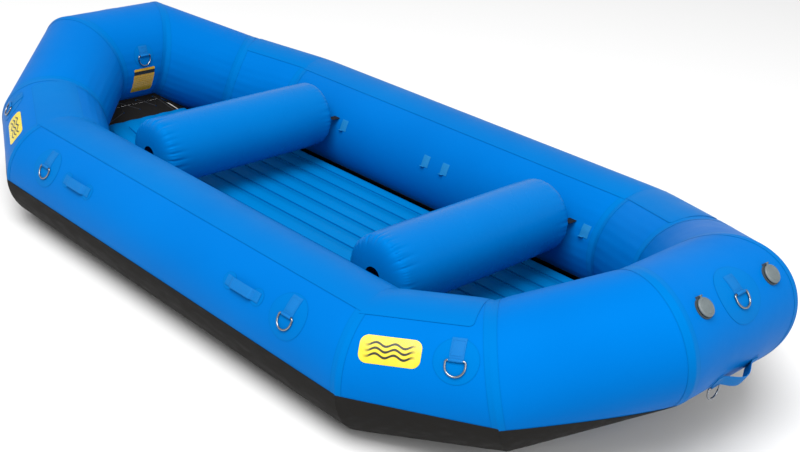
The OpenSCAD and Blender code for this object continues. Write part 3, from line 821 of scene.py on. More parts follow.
@dataclass
class HullRing:
    """The ring of twelve joints and tubes, and the fabric surface that pieces are laid on.

    Tube i runs from joint i to joint i + 1, clockwise from the front left joint seen from above.
    """

    side_half: float = 1.057
    shoulder_x: float = 1.452
    shoulder_y: float = 0.575
    end_y: float = 0.214
    shoulder_rise: float = 0.061
    shoulder_r: float = 0.249
    seam_tuck: float = 0.0022
    seam_reach: float = 0.035
    crumple: float = 0.0013
    crumple_reach: float = 0.05
    crumples: int = 26
    steps: tuple[int, ...] = (0, 1, 2, 2, 1, 0, 0, 1, 2, 2, 1, 0)
    kinds: tuple[int, ...] = (1, 2, 3, 2, 1, 0, 1, 2, 3, 2, 1, 0)

    def __post_init__(self) -> None:
        """Reads the tubes' sizes off the frame and works out each tube's own axes."""
        low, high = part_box("side_tube_left")
        self.side_r = (high.z - low.z) / 2
        self.base_z = (high.z + low.z) / 2
        self.half_beam = high.y - self.side_r
        low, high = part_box("bow_tube")
        self.end_r = (high.z - low.z) / 2
        self.end_z = (high.z + low.z) / 2
        self.end_x = high.x - self.end_r
        xs = (self.side_half, self.shoulder_x, self.end_x)
        ys = (self.half_beam, self.shoulder_y, self.end_y)
        zs = (self.base_z, self.base_z + self.shoulder_rise, self.end_z)
        radii = (self.side_r, self.shoulder_r, self.end_r)
        fore = [1 if i < 6 else -1 for i in range(12)]
        port = [1 if i < 3 or i > 8 else -1 for i in range(12)]
        rows = [(xs[k] * f, ys[k] * p, zs[k]) for k, f, p in zip(self.steps, fore, port)]
        self.joints = np.array(rows)
        spans = np.roll(self.joints, -1, axis=0) - self.joints
        self.length = np.linalg.norm(spans, axis=1)
        self.along = unit(spans)
        self.outboard = unit(np.cross(UP, self.along))
        self.upward = np.cross(self.along, self.outboard)
        self.radius = np.array([radii[step] for step in self.steps])
        self.taper = (np.roll(self.radius, -1) - self.radius) / self.length
        before = np.roll(self.along, 1, axis=0)
        self.mitre = unit(before + self.along)
        self.bend = unit(self.along - before)

    def kind(self, tube: int) -> Kind:
        """Returns the kind of a tube."""
        return Kind(self.kinds[tube % 12])

    def normal(self, tube: int, phi: np.ndarray | float) -> np.ndarray:
        """Returns the outward normals at angles above the outboard level, in radians."""
        angle = np.atleast_1d(phi)[:, None]
        return self.outboard[tube] * np.cos(angle) + self.upward[tube] * np.sin(angle)

    def draw_in(self, tube: int, point: np.ndarray, normal: np.ndarray) -> np.ndarray:
        """Works out how far the fabric is drawn in and crumpled beside the tube's two seams.

        Args:
            tube: The tube.
            point: Points on its clean surface.
            normal: Their outward normals.

        Returns:
            How far each point moves outwards.
        """
        moved = np.zeros(len(point))
        for joint in (tube, (tube + 1) % 12):
            away = np.abs((point - self.joints[joint]) @ self.mitre[joint])
            inner = normal @ self.bend[joint]
            turn = np.arctan2(normal @ np.cross(self.bend[joint], self.mitre[joint]), inner)
            near = np.exp(-((away / self.seam_reach) ** 2))
            moved -= self.seam_tuck * near * (0.45 + 0.55 * np.clip(inner, 0, 1))
            fold = np.sin(self.crumples * turn + 1.7 * joint) * np.sin(11 * turn + 0.9 * joint)
            ridge = (away / self.crumple_reach) * np.exp(1 - away / self.crumple_reach)
            moved += self.crumple * fold * ridge * np.clip(inner, 0, 1) ** 1.5
        return moved

    def surface(self, tube: int, s: np.ndarray, normal: np.ndarray, lift: np.ndarray | float) -> np.ndarray:
        """Returns points on the fabric.

        Args:
            tube: The tube.
            s: Distance of each point along the tube's axis from its first joint.
            normal: The outward normal of each point.
            lift: Height above the fabric.

        Returns:
            The points, one per row.
        """
        axis = self.joints[tube] + s[:, None] * self.along[tube]
        clean = axis + normal * (self.radius[tube] + self.taper[tube] * s)[:, None]
        raised = self.draw_in(tube, clean, normal) + lift
        return clean + normal * np.broadcast_to(raised, s.shape)[:, None]

    def cut(self, tube: int, joint: int, normal: np.ndarray, away: np.ndarray | float = 0.0) -> np.ndarray:
        """Finds where the tube's straight lines meet a plane beside a joint's mitre plane.

        Args:
            tube: The tube.
            joint: One of its two joints.
            normal: The outward normal of each line.
            away: Distance of the plane from the mitre plane, along the ring.

        Returns:
            The distance along the tube's axis for each line.
        """
        m = self.mitre[joint % 12]
        start = 0.0 if joint % 12 == tube % 12 else self.length[tube]
        tilt = normal @ m
        lean = self.along[tube] @ m
        return (away + start * lean - self.radius[tube] * tilt) / (lean + self.taper[tube] * tilt)

    def between(self, tube: int, share: np.ndarray, normal: np.ndarray) -> np.ndarray:
        """Returns the distance along the axis at a share of each line from mitre to mitre."""
        first = self.cut(tube, tube, normal)
        last = self.cut(tube, (tube + 1) % 12, normal)
        return first + share * (last - first)

    def lay(self, obj: bpy.types.Object, tube: int, s: float, phi: float) -> None:
        """Lays a flat-modelled piece on a tube, with its Y up the tube and its Z outwards.

        Args:
            obj: The piece, modelled flat about the origin.
            tube: The tube that carries it.
            s: Distance along the tube of the piece's origin.
            phi: Angle of the piece's origin above the outboard level, in degrees.
        """
        flat = Bench.points(obj)
        angle = math.radians(phi)
        side = 1.0 if math.cos(angle) >= 0 else -1.0
        radius = self.radius[tube] + self.taper[tube] * s
        normal = self.normal(tube, angle + side * flat[:, 1] / radius)
        Bench.move(obj, self.surface(tube, s - side * flat[:, 0], normal, flat[:, 2]))

    def stand(self, tube: int, s: float, phi: float, lift: float = 0.0) -> Matrix:
        """Returns the place of a stiff piece on a tube: Y up the tube and Z outwards."""
        angle = math.radians(phi)
        side = 1.0 if math.cos(angle) >= 0 else -1.0
        n = self.normal(tube, angle)[0]
        y = side * (self.upward[tube] * math.cos(angle) - self.outboard[tube] * math.sin(angle))
        x = np.cross(y, n)
        radius = self.radius[tube] + self.taper[tube] * s
        place = self.joints[tube] + self.along[tube] * s + n * (radius + lift)
        return Matrix([[*row, p] for row, p in zip(np.array([x, y, n]).T, place)] + [[0, 0, 0, 1]])

    def inboard_corners(self, inset: tuple[float, float, float, float]) -> np.ndarray:
        """Returns the plan corners of a line drawn inboard of the tubes' centrelines.

        Args:
            inset: How far inboard the line is for each kind of tube.

        Returns:
            One corner per joint, in two columns.
        """
        flat = unit(self.outboard[:, :2])
        corners = []
        for i in range(12):
            sides = np.array([flat[i - 1], flat[i]])
            insets = np.array([inset[self.kinds[i - 1]], inset[self.kinds[i]]])
            corners.append(np.linalg.solve(sides, sides @ self.joints[i, :2] - insets))
        return np.array(corners)


TUBE_NAMES = {
    11: "side_tube_left",
    5: "side_tube_right",
    0: "shoulder_tube_front_left",
    4: "shoulder_tube_front_right",
    10: "shoulder_tube_rear_left",
    6: "shoulder_tube_rear_right",
    1: "corner_tube_front_left",
    3: "corner_tube_front_right",
    9: "corner_tube_rear_left",
    7: "corner_tube_rear_right",
    2: "bow_tube",
    8: "stern_tube",
}


@dataclass
class HullTubes:
    """The twelve air tubes, tight with air, with their fabric tucked in beside each seam."""

    ring: HullRing
    around: int = 160
    ring_pitch: float = 0.012
    edge_tuck: float = 0.0012
    edge_reach: float = 0.012

    def build(self) -> None:
        """Builds and dresses every tube."""
        for tube, name in TUBE_NAMES.items():
            obj = self.tube(tube, name + "_air")
            dress(obj, HULL_FABRIC, nodes=(name,), crease=60)

    def tube(self, tube: int, name: str) -> bpy.types.Object:
        """Builds one tube from a sleeve whose rings lean over into the mitres.

        Args:
            tube: The tube's number in the ring.
            name: The piece's name.

        Returns:
            The closed tube.
        """
        rings = int(self.ring.length[tube] / self.ring_pitch)
        obj = Bench.sleeve(name, self.around, rings)
        co = Bench.points(obj)
        phi = Bench.round_angle(co)
        normal = self.ring.normal(tube, phi)
        s = self.ring.between(tube, co[:, 2], normal)
        Bench.map_cut(obj, np.stack([s, phi * self.ring.radius[tube]], axis=1))
        clean = self.ring.surface(tube, s, normal, 0.0)
        lift = np.zeros(len(co))
        for joint in (tube, (tube + 1) % 12):
            away = (clean - self.ring.joints[joint]) @ self.ring.mitre[joint]
            lift -= self.edge_tuck * np.exp(-((away / self.edge_reach) ** 2))
        Bench.move(obj, self.ring.surface(tube, s, normal, lift))
        Bench.close(obj)
        return obj


@dataclass
class WearLayers:
    """Seam tapes, the black wear wrap under the tubes and the chafer strips on top of them."""

    ring: HullRing
    tape_w: float = 0.045
    tape_t: float = 0.0008
    tape_blend: float = 0.012
    layer_lift: float = 0.001
    wrap_t: float = 0.0015
    chafer_w: float = 0.214
    chafer_t: float = 0.001
    chafer_share: float = 0.87
    chafer_corner: float = 0.018
    wrap_drop: tuple[float, float, float] = (0.082, 0.117, 0.220)
    wrap_slope: float = 0.25
    # Width of the painted shade along the edges of tapes and chafers.
    edge_shade_w: float = 0.0025
    low_ring_phi: float = -50.0
    low_ring_clear: float = 0.061

    def build(self) -> None:
        """Builds and dresses the tapes, wraps and chafers."""
        tapes = Bench.join([self.tape(j) for j in range(12)], "seam_tapes_glued")
        dress(tapes, TAPE_FABRIC, nodes=("seam_tapes",))
        for name, kinds in (("sides", (Kind.SIDE,)), ("ends", (Kind.SHOULDER, Kind.CORNER, Kind.END))):
            parts = [self.wrap(i) for i in range(12) if self.ring.kind(i) in kinds]
            wrap = Bench.join(parts, f"wear_wrap_{name}_glued")
            dress(wrap, WEAR_FABRIC, nodes=(f"wear_wrap_{name}",))
        strips = [self.chafer(i) for i in range(12) if self.ring.kind(i) in (Kind.SIDE, Kind.SHOULDER)]
        chafers = Bench.join(strips, "top_chafers_glued")
        dress(chafers, TAPE_FABRIC, nodes=("top_chafers",))

    def thicken(self, obj: bpy.types.Object, thickness: float) -> None:
        """Gives a laid sheet its thickness, outwards from the tube it lies on."""
        Bench.modify(obj, "SOLIDIFY", thickness=thickness, offset=1.0, use_even_offset=False)

    def tape(self, joint: int) -> bpy.types.Object:
        """Builds the closed band of tape over one mitred seam."""
        obj = Bench.sleeve(f"tape_{joint}", 160, 16)
        co = Bench.points(obj)
        away = np.sin((co[:, 2] - 0.5) * math.pi) * self.tape_w / 2
        phi = Bench.round_angle(co)
        before = (joint - 1) % 12
        m = self.ring.mitre[joint]
        near = self.ring.normal(before, phi)
        far = near - 2 * (near @ m)[:, None] * m
        sides = [
            self.ring.surface(tube, self.ring.cut(tube, joint, n, away), n, GLUE)
            for tube, n in ((before, near), (joint, far))
        ]
        share = np.clip(0.5 + away / self.tape_blend, 0, 1)[:, None]
        Bench.move(obj, sides[0] * (1 - share) + sides[1] * share)
        # Painted shade along the tape's two edges.
        Bench.paint_edge_shade(obj, np.clip(1 - (self.tape_w / 2 - np.abs(away)) / self.edge_shade_w, 0, 1))
        self.thicken(obj, self.tape_t)
        return obj

    def wrap(self, tube: int) -> bpy.types.Object:
        """Builds the black wear wrap under one tube."""
        ring = self.ring
        obj = Bench.grid(f"wrap_{tube}", max(24, int(ring.length[tube] / 0.02)), 72)
        co = Bench.points(obj)
        drops = [self.wrap_drop[ring.steps[j % 12]] for j in (tube, tube + 1)]
        first, last = (ring.joints[j % 12] - UP * d for j, d in zip((tube, tube + 1), drops))
        edge = unit(np.cross(last - first, ring.outboard[tube] + UP * self.wrap_slope))
        middle = (first + last) / 2
        phi = np.full(len(co), -math.pi / 2)
        for _ in range(8):
            s = ring.between(tube, co[:, 0], ring.normal(tube, phi))
            radius = ring.radius[tube] + ring.taper[tube] * s
            drop = (ring.joints[tube] + s[:, None] * ring.along[tube] - middle) @ edge
            out, up = ring.outboard[tube] @ edge, ring.upward[tube] @ edge
            reach = np.arccos(np.clip(-drop / (radius * math.hypot(out, up)), -1, 1))
            lean = math.atan2(up, out)
            phi = lean + reach + co[:, 1] * (2 * math.pi - 2 * reach)
        normal = ring.normal(tube, phi)
        Bench.move(obj, ring.surface(tube, s, normal, self.layer_lift))
        self.face_outwards(obj, tube)
        self.thicken(obj, self.wrap_t)
        if ring.kind(tube) is Kind.END:
            self.clear_ring(obj, tube)
        return obj

    def clear_ring(self, obj: bpy.types.Object, tube: int) -> None:
        """Cuts the round window in a wrap that leaves the lower ring's patch free.

        Args:
            obj: The wrap, a closed sheet.
            tube: The end tube that it lies on.
        """
        Bench.clear()
        bpy.ops.mesh.primitive_cylinder_add(vertices=72, radius=self.low_ring_clear, depth=0.12)
        cutter = Bench.take("cutter")
        cutter.data.transform(self.ring.stand(tube, self.ring.end_y, self.low_ring_phi))
        Bench.modify(obj, "BOOLEAN", operation="DIFFERENCE", object=cutter, solver="EXACT")
        bpy.data.objects.remove(cutter)

    def face_outwards(self, obj: bpy.types.Object, tube: int) -> None:
        """Turns a laid sheet over if its first face looks at the tube's axis."""
        Bench.clear()
        face = obj.data.polygons[0]
        span = np.array(face.center) - self.ring.joints[tube]
        radial = span - (span @ self.ring.along[tube]) * self.ring.along[tube]
        if np.array(face.normal) @ radial < 0:
            Bench.edit(obj)
            bpy.ops.mesh.flip_normals()
            Bench.clear()

    def chafer(self, tube: int) -> bpy.types.Object:
        """Builds the chafer strip on top of one tube, with round corners where it stops."""
        ring = self.ring
        obj = Bench.grid(f"chafer_{tube}", max(60, int(ring.length[tube] / 0.015)), 24)
        co = Bench.points(obj)
        half = self.chafer_w / 2
        across = np.sin((co[:, 1] - 0.5) * math.pi) * half
        share = (1 - np.cos(co[:, 0] * math.pi)) / 2
        radius = ring.radius[tube]
        normal = ring.normal(tube, math.pi / 2 - np.arcsin(across / radius))
        first = ring.cut(tube, tube, normal)
        last = ring.cut(tube, (tube + 1) % 12, normal)
        to_end = np.full(len(co), 1.0)
        if ring.kind(tube) is Kind.SHOULDER:
            reach = ring.length[tube] * self.chafer_share
            if ring.steps[(tube + 1) % 12] > ring.steps[tube]:
                last = np.full(len(co), reach)
                to_end = (1 - share) * (last - first)
            else:
                first = np.full(len(co), ring.length[tube] - reach)
                to_end = share * (last - first)
        corner = self.chafer_corner
        depth = np.clip(corner - to_end, 0, corner)
        trim = corner - np.sqrt(corner**2 - depth**2)
        across = across * (half - trim) / half
        normal = ring.normal(tube, math.pi / 2 - np.arcsin(across / radius))
        Bench.move(obj, ring.surface(tube, first + share * (last - first), normal, self.layer_lift))
        # Painted shade along the chafer's edges and ends.
        edge_shade = np.clip(1 - (half - trim - np.abs(across)) / self.edge_shade_w, 0, 1)
        Bench.paint_edge_shade(obj, np.maximum(edge_shade, np.clip(1 - to_end / self.edge_shade_w, 0, 1)))
        self.face_outwards(obj, tube)
        self.thicken(obj, self.chafer_t)
        return obj


@dataclass
class Floor:
    """The self-bailing I-beam floor, drawn in along its inner webs, and its laced flanges."""

    ring: HullRing
    edge_inset: tuple[float, float, float, float] = (0.233, 0.226, 0.205, 0.313)
    flute_pitch: float = 0.1
    flute_depth: float = 0.010
    flute_fade: float = 0.09
    edge_r: float = 0.045
    swell_out: float = 0.082
    rise: float = 0.080
    flange_z: float = 0.032
    flange_t: float = 0.002
    square_end: float = 1.440
    flange_insets: dict[str, tuple[tuple[float, ...], tuple[float, ...]]] = field(
        default_factory=lambda: {
            "floor_flange": ((0.2327, 0.2257, 0.2047, 0.3127), (0.164, 0.164, 0.170, 0.1653)),
            "hull_flange": ((0.158, 0.158, 0.164, 0.1645), (0.096, 0.096, 0.102, 0.103)),
        }
    )

    def build(self) -> None:
        """Builds and dresses the floor and its kept nodes."""
        floor = self.slab()
        dress(floor, FLOOR_FABRIC, nodes=("floor_skin",), crease=70)
        dress_node("floor_beams", FLOOR_FABRIC)
        for node, (inner, outer) in self.flange_insets.items():
            dress(self.flange(node, inner, outer), WEAR_FABRIC, nodes=(node,))
        dress_node("grommets", STEEL)
        dress_node("floor_lacing", LACE)
        dress_node("chamber_baffles", WEAR_FABRIC)

    def flange(self, node: str, inner: tuple[float, ...], outer: tuple[float, ...]) -> bpy.types.Object:
        """Builds one laced flange: a flat band round the floor that climbs at both ends.

        Args:
            node: The frame's node that it replaces.
            inner: Inset of its inner edge for each kind of tube.
            outer: Inset of its outer edge for each kind of tube.

        Returns:
            The closed band.
        """
        first, last = self.ring.inboard_corners(inner), self.ring.inboard_corners(outer)
        slope = self.rise / (self.square_end - self.ring.side_half)
        strips = []
        for i in range(12):
            obj = Bench.grid(f"{node}_{i}", 60, 3)
            co = Bench.points(obj)
            along, across = co[:, :1], co[:, 1:2]
            ends = [edge[i] * (1 - along) + edge[(i + 1) % 12] * along for edge in (first, last)]
            plan = ends[0] * (1 - across) + ends[1] * across
            x = np.abs(plan[:, 0])
            climb = np.clip(x, self.ring.side_half, self.square_end) - self.ring.side_half
            z = self.flange_z + slope * climb + np.clip(x - self.square_end, 0, None)
            Bench.move(obj, np.column_stack([plan, z]))
            strips.append(obj)
        band = Bench.join(strips, node + "_band")
        Bench.edit(band)
        bpy.ops.mesh.remove_doubles(threshold=1e-4)
        bpy.ops.mesh.normals_make_consistent(inside=False)
        Bench.clear()
        Bench.modify(band, "SOLIDIFY", thickness=self.flange_t, offset=0.0)
        Bench.close(band)
        return band

    @staticmethod
    def crowded(share: np.ndarray, pull: float) -> np.ndarray:
        """Spreads shares from 0 to 1 over -1 to 1, crowded towards both ends.

        Args:
            share: Even steps from 0 to 1.
            pull: How far they crowd, from 0 to 1.

        Returns:
            The steps from -1 to 1.
        """
        ends = np.sin((share - 0.5) * math.pi * 0.999) / math.sin(math.pi * 0.4995)
        return pull * ends + (1 - pull) * (2 * share - 1)

    def slab(self) -> bpy.types.Object:
        """Builds the floor from an upper and a lower sheet that meet along its edge.

        Returns:
            The closed floor.
        """
        low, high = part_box("floor_skin")
        end = high.x + self.swell_out
        half_t = (high.z - low.z - self.rise) / 2
        corners = self.ring.inboard_corners(self.edge_inset)
        order = sorted({round(float(corners[k, 0]), 5): float(corners[k, 1]) for k in (0, 1, 2)}.items())
        plan_x, plan_y = zip(*order)
        sheets = []
        for side in (1, -1):
            obj = Bench.grid(f"floor_{side}", 220, 150)
            co = Bench.points(obj)
            u, v = self.crowded(co[:, 0], 0.35), self.crowded(co[:, 1], 0.3)
            x = u * end
            width = np.interp(np.abs(x), plan_x, plan_y)
            y = v * width
            to_edge = np.minimum((1 - np.abs(v)) * width, (1 - np.abs(u)) * end)
            inside = np.clip(to_edge / self.edge_r, 0, 1)
            crown = np.sqrt(np.clip(1 - (1 - inside) ** 2, 0, 1))
            wave = np.cos(math.pi * y / self.flute_pitch) ** 2
            flute = self.flute_depth * (wave**0.7 - 1) * np.clip(to_edge / self.flute_fade, 0, 1)
            slope = np.clip(np.abs(x) - self.ring.side_half, 0, None) / (high.x - self.ring.side_half)
            middle = low.z + half_t + self.rise * slope
            z = middle + side * (half_t * crown + flute)
            Bench.map_cut(obj, np.stack([x, y], axis=1))
            Bench.move(obj, np.stack([x, y, z], axis=1))
            sheets.append(obj)
        Bench.edit(sheets[1])
        bpy.ops.mesh.flip_normals()
        floor = Bench.join(sheets, "floor_air_cells")
        Bench.close(floor, 1e-5)
        return floor


@dataclass
class Thwarts:
    """Two inflated cross tubes with gathered ends, their straps and their small valves."""

    round_end: float = 0.055
    strap_forward: float = 0.125
    strap_rise: float = 0.005
    strap_span: tuple[float, float] = (-0.006, 0.048)
    strap_w: float = 0.038
    strap_t: float = 0.0024
    wrinkle_depth: float = 0.007
    port_wrinkles: float = 0.35
    waist: float = 0.012
    waist_reach: float = 0.09
    wrinkles: tuple[tuple[int, float], ...] = ((23, 0.060), (37, 0.045), (58, 0.035), (91, 0.025))

    def build(self) -> None:
        """Builds and dresses both thwarts and what is on them."""
        rng = np.random.default_rng(7)
        for name in ("thwart_front", "thwart_rear"):
            obj = self.thwart(name, rng)
            dress(obj, THWART_FABRIC, nodes=(name,), crease=75)
        straps = [self.strap(end, side) for end in (1, -1) for side in (1, -1)]
        sewn = Bench.join(straps, "thwart_straps_sewn")
        dress(sewn, BLACK_WEBBING, nodes=("thwart_straps",))
        dress_node("small_valve_bodies", GREY_NYLON)
        for name in ("small_cap_thwart_front", "small_cap_thwart_rear", "small_cap_floor"):
            dress_node(name, GREY_NYLON)

    def strap(self, end: int, side: int) -> bpy.types.Object:
        """Builds one flat strap between a thwart's end and the side tube.

        Args:
            end: 1 for the front thwart, -1 for the rear one.
            side: 1 for port, -1 for starboard.

        Returns:
            The strap.
        """
        low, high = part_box("thwart_front" if end > 0 else "thwart_rear")
        span, middle = self.strap_span, (low + high) / 2
        place = (middle.x + self.strap_forward, side * (high.y + sum(span) / 2), middle.z + self.strap_rise)
        strap = Bench.block("strap", (self.strap_w, span[1] - span[0], self.strap_t), place, 0.0007)
        Bench.map_cut(strap, Bench.points(strap)[:, :2])
        return strap

    def thwart(self, node: str, rng: np.random.Generator) -> bpy.types.Object:
        """Builds one thwart, whose sleeve gathers where it is glued round its end discs.

        Args:
            node: The frame's node that it replaces.
            rng: The seeded source of uneven gathers.

        Returns:
            The closed thwart.
        """
        low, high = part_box(node)
        middle = (low + high) / 2
        radius, half = (high.z - low.z) / 2, (high.y - low.y) / 2
        obj = Bench.sleeve(node + "_air", 288, 260)
        co = Bench.points(obj)
        angle = np.arctan2(co[:, 1], co[:, 0])
        sleeve = half - self.round_end
        turned_in = self.round_end * 1.1 + radius * 0.75
        path = (2 * co[:, 2] - 1) * (sleeve + turned_in)
        side = np.sign(path)
        path = np.abs(path)
        theta = np.clip(path - sleeve, 0, None) / turned_in * math.pi / 2
        ease = np.sin(theta) ** 0.72
        y = np.where(path < sleeve, path, sleeve + (half - sleeve) * ease)
        r = radius * np.where(path < sleeve, 1.0, np.cos(theta) ** 0.62)
        folds = np.zeros(len(co))
        for count, reach in self.wrinkles:
            phase, drift, skew = rng.uniform(0, 2 * math.pi, 3)
            strength = 0.5 + 0.5 * np.sin(rng.integers(2, 6) * angle + drift + 2 * side)
            bent = count / 2 * angle + phase + 0.9 * np.sin(3 * angle + skew) + side
            near = np.exp(-(((path - sleeve - 0.6 * self.round_end) / reach) ** 2))
            folds += strength * (1 - np.abs(np.sin(bent))) ** 1.4 * near * (23 / count) ** 0.6
        r = np.maximum(r - self.wrinkle_depth * folds * np.where(side < 0, 1.0, self.port_wrinkles), 0)
        barrel = 1 - self.waist * np.exp(-(((path - sleeve) / self.waist_reach) ** 2))
        x = middle.x + r * barrel * np.cos(angle)
        z = middle.z + r * barrel * np.sin(angle)
        Bench.map_cut(obj, np.stack([side * path, angle * radius], axis=1))
        Bench.move(obj, np.stack([x, middle.y + side * y, z], axis=1))
        Bench.close(obj, 2e-4)
        return obj


@dataclass
class RingPlace:
    """Where a D-ring is: its node, tube, distance along, angle, patch radius and webbing length."""

    node: str
    tube: int
    s: float
    phi: float
    patch_r: float
    webbing: float


@dataclass
class Fittings:
    """D-rings on their webbing and patches, grab handles and tie tabs."""

    ring: HullRing
    wire_r: float = 0.0035
    ring_w: float = 0.069
    ring_leg: float = 0.018
    corner_r: float = 0.008
    ring_lift: float = 0.0071
    rest_tilt: float = 6.0
    webbing_w: float = 0.050
    webbing_t: float = 0.002
    loop_r: float = 0.0057
    loop_bore: float = 0.0039
    patch_t: float = 0.0012
    patch_rim: float = 0.003
    side_s: float = 0.241
    shoulder_s: float = 0.354
    handle_s: float = 0.490
    lift_phi: float = -26.0
    strap_t: float = 0.0025
    tab_x: tuple[float, ...] = (-0.940, -0.550, 0.015, 0.135, 0.550, 0.940)
    tab_phi: float = 159.0
    tab_size: tuple[float, float] = (0.040, 0.055)
    places: list[RingPlace] = field(default_factory=list)

    def __post_init__(self) -> None:
        """Lists the thirteen D-rings."""
        length = self.ring.length
        side, shoulder = self.side_s, self.shoulder_s
        mid = self.ring.end_y
        on_side = {"phi": 32, "patch_r": 0.088, "webbing": 0.078}
        on_shoulder = {"phi": 36, "patch_r": 0.078, "webbing": 0.078}
        self.places = [
            RingPlace("ring_side_front_left", 11, length[11] - side, **on_side),
            RingPlace("ring_side_front_right", 5, side, **on_side),
            RingPlace("ring_side_rear_left", 11, side, **on_side),
            RingPlace("ring_side_rear_right", 5, length[5] - side, **on_side),
            RingPlace("ring_shoulder_front_left", 0, shoulder, **on_shoulder),
            RingPlace("ring_shoulder_front_right", 4, length[4] - shoulder, **on_shoulder),
            RingPlace("ring_shoulder_rear_left", 10, length[10] - shoulder, **on_shoulder),
            RingPlace("ring_shoulder_rear_right", 6, shoulder, **on_shoulder),
            RingPlace("ring_bow_upper", 2, mid, 45, 0.104, 0.070),
            RingPlace("ring_bow_lower", 2, mid, -50, 0.060, 0.050),
            RingPlace("ring_stern_upper", 8, mid, 45, 0.104, 0.070),
            RingPlace("ring_stern_lower", 8, mid, -50, 0.060, 0.050),
            RingPlace("ring_stern_inner", 8, mid, 166, 0.058, 0.050),
        ]

    def build(self) -> None:
        """Builds and dresses the rings, webbing, patches, handles and tabs."""
        wire = self.d_ring()
        for place in self.places:
            ring = Bench.copy(wire, place.node + "_wire")
            tilt = place.phi if place.phi < 0 else self.rest_tilt
            stand = self.ring.stand(place.tube, place.s, place.phi, self.ring_lift)
            ring.data.transform(stand @ Matrix.Rotation(math.radians(tilt), 4, "X"))
            dress(ring, STEEL, body=place.node, nodes=(place.node,), crease=80)
        bpy.data.objects.remove(wire)
        webs = Bench.join([self.ring_web(p) for p in self.places], "ring_webbing_sewn")
        dress(webs, BLUE_WEBBING, nodes=("ring_webbing",))
        patches = [self.patch(p.tube, p.s, p.phi, p.patch_r) for p in self.places]
        handles = []
        for tube, s, phi, gap, half, width in self.handle_places():
            handles.append(self.handle(tube, s, phi, gap, half, width))
            patches += [self.patch(tube, s + e * (half - 0.016), phi, 0.034) for e in (-1, 1)]
        dress(Bench.join(patches, "round_patches"), TAPE_FABRIC, nodes=("patches",))
        straps = Bench.join(handles, "grab_handle_straps")
        dress(straps, BLUE_WEBBING, nodes=("grab_handles",))
        mid = self.ring.side_half
        tabs = [self.tie_tab(tube, mid + x * way) for tube, way in ((5, -1), (11, 1)) for x in self.tab_x]
        dress(Bench.join(tabs, "tie_tabs_sewn"), LIT_TAB_WEBBING, nodes=("tie_tabs",))

    def tie_tab(self, tube: int, s: float) -> bpy.types.Object:
        """Builds one tie tab: a glued plate of webbing with its free edge turned up.

        Args:
            tube: The side tube that carries it.
            s: Distance along the tube.

        Returns:
            The laid tab.
        """
        width, height = self.tab_size
        plate = Bench.block("plate", (width, height, 0.0018), (0, 0, 0.001), 0.0005)
        Bench.slice_rows(plate, height / 2)
        flap = Bench.block("flap", (0.022, 0.0022, 0.014), (-0.009, 0.0012 - height / 2, 0.0075), 0.0006)
        tab = Bench.join([plate, flap], "tab")
        Bench.map_cut(tab, Bench.points(tab)[:, :2])
        self.ring.lay(tab, tube, s, self.tab_phi)
        return tab

    def handle_places(self) -> list[tuple[int, float, float, float, float, float]]:
        """Returns each handle's tube, distance along, angle, gap, half length and width."""
        length = self.ring.length
        places = []
        for tube in (11, 5):
            for s in (self.handle_s, length[tube] - self.handle_s):
                places.append((tube, s, 32.0, 0.016, 0.095, 0.038))
        return places + [(tube, self.ring.end_y, self.lift_phi, 0.038, 0.120, 0.044) for tube in (2, 8)]

    def d_ring(self) -> bpy.types.Object:
        """Bends the wire of one D-ring: a straight bar, two legs and a half circle."""
        half, corner = self.ring_w / 2, self.corner_r
        path = []
        for turn in np.linspace(0, math.pi / 2, 7):
            path.append((half - corner + corner * math.sin(turn), -corner + corner * math.cos(turn)))
        for turn in np.linspace(0, math.pi, 33):
            path.append((half * math.cos(turn), -self.ring_leg - half * math.sin(turn)))
        for turn in np.linspace(0, math.pi / 2, 7):
            path.append((-half + corner - corner * math.cos(turn), -corner + corner * math.sin(turn)))
        curve = bpy.data.curves.new("d_ring", "CURVE")
        curve.dimensions = "3D"
        curve.bevel_depth = self.wire_r
        curve.bevel_resolution = 4
        spline = curve.splines.new("POLY")
        spline.points.add(len(path) - 1)
        for point, (x, y) in zip(spline.points, path):
            point.co = (x, y, 0, 1)
        spline.use_cyclic_u = True
        obj = bpy.data.objects.new("d_ring", curve)
        bpy.context.scene.collection.objects.link(obj)
        Bench.only(obj)
        bpy.ops.object.convert(target="MESH")
        return bpy.context.active_object

    def ring_web(self, place: RingPlace) -> bpy.types.Object:
        """Builds a D-ring's webbing: a loop round the bar and a tail glued up the tube."""
        width, low, reach = self.webbing_w, self.patch_t, place.webbing
        size = (width, reach - 0.004, self.webbing_t)
        tail = Bench.block("tail", size, (0, (reach + 0.004) / 2, low + self.webbing_t / 2), 0.0006)
        Bench.slice_rows(tail, reach)
        right = [
            (self.loop_r, width / 2 - 0.0012),
            (self.loop_r - 0.0008, width / 2),
            (self.loop_bore, width / 2 - 0.001),
        ]
        left = [(r, -y) for r, y in reversed(right)]
        loop = Bench.turned("loop", [*left, *right, left[0]], 28)
        bar = Matrix.Translation((0, 0, self.ring_lift))
        loop.data.transform(bar @ Matrix.Rotation(math.pi / 2, 4, "Y"))
        top, thread, seam = low + 0.0023, 0.0012, 0.0008
        long = reach - 0.026
        rows = [((width - 0.008, thread, seam), (0, 0.016 + k * long, top)) for k in range(2)]
        for x in (-1, 1):
            rows.append(((thread, long, seam), (x * (width / 2 - 0.004), 0.003 + reach / 2, top)))
        stitches = [Bench.block("stitch", size, middle, 0.0003) for size, middle in rows]
        for row in stitches:
            Bench.slice_rows(row, reach)
        obj = Bench.join([tail, loop, *stitches], "web_" + place.node)
        Bench.map_cut(obj, Bench.points(obj)[:, :2])
        self.ring.lay(obj, place.tube, place.s, place.phi)
        return obj

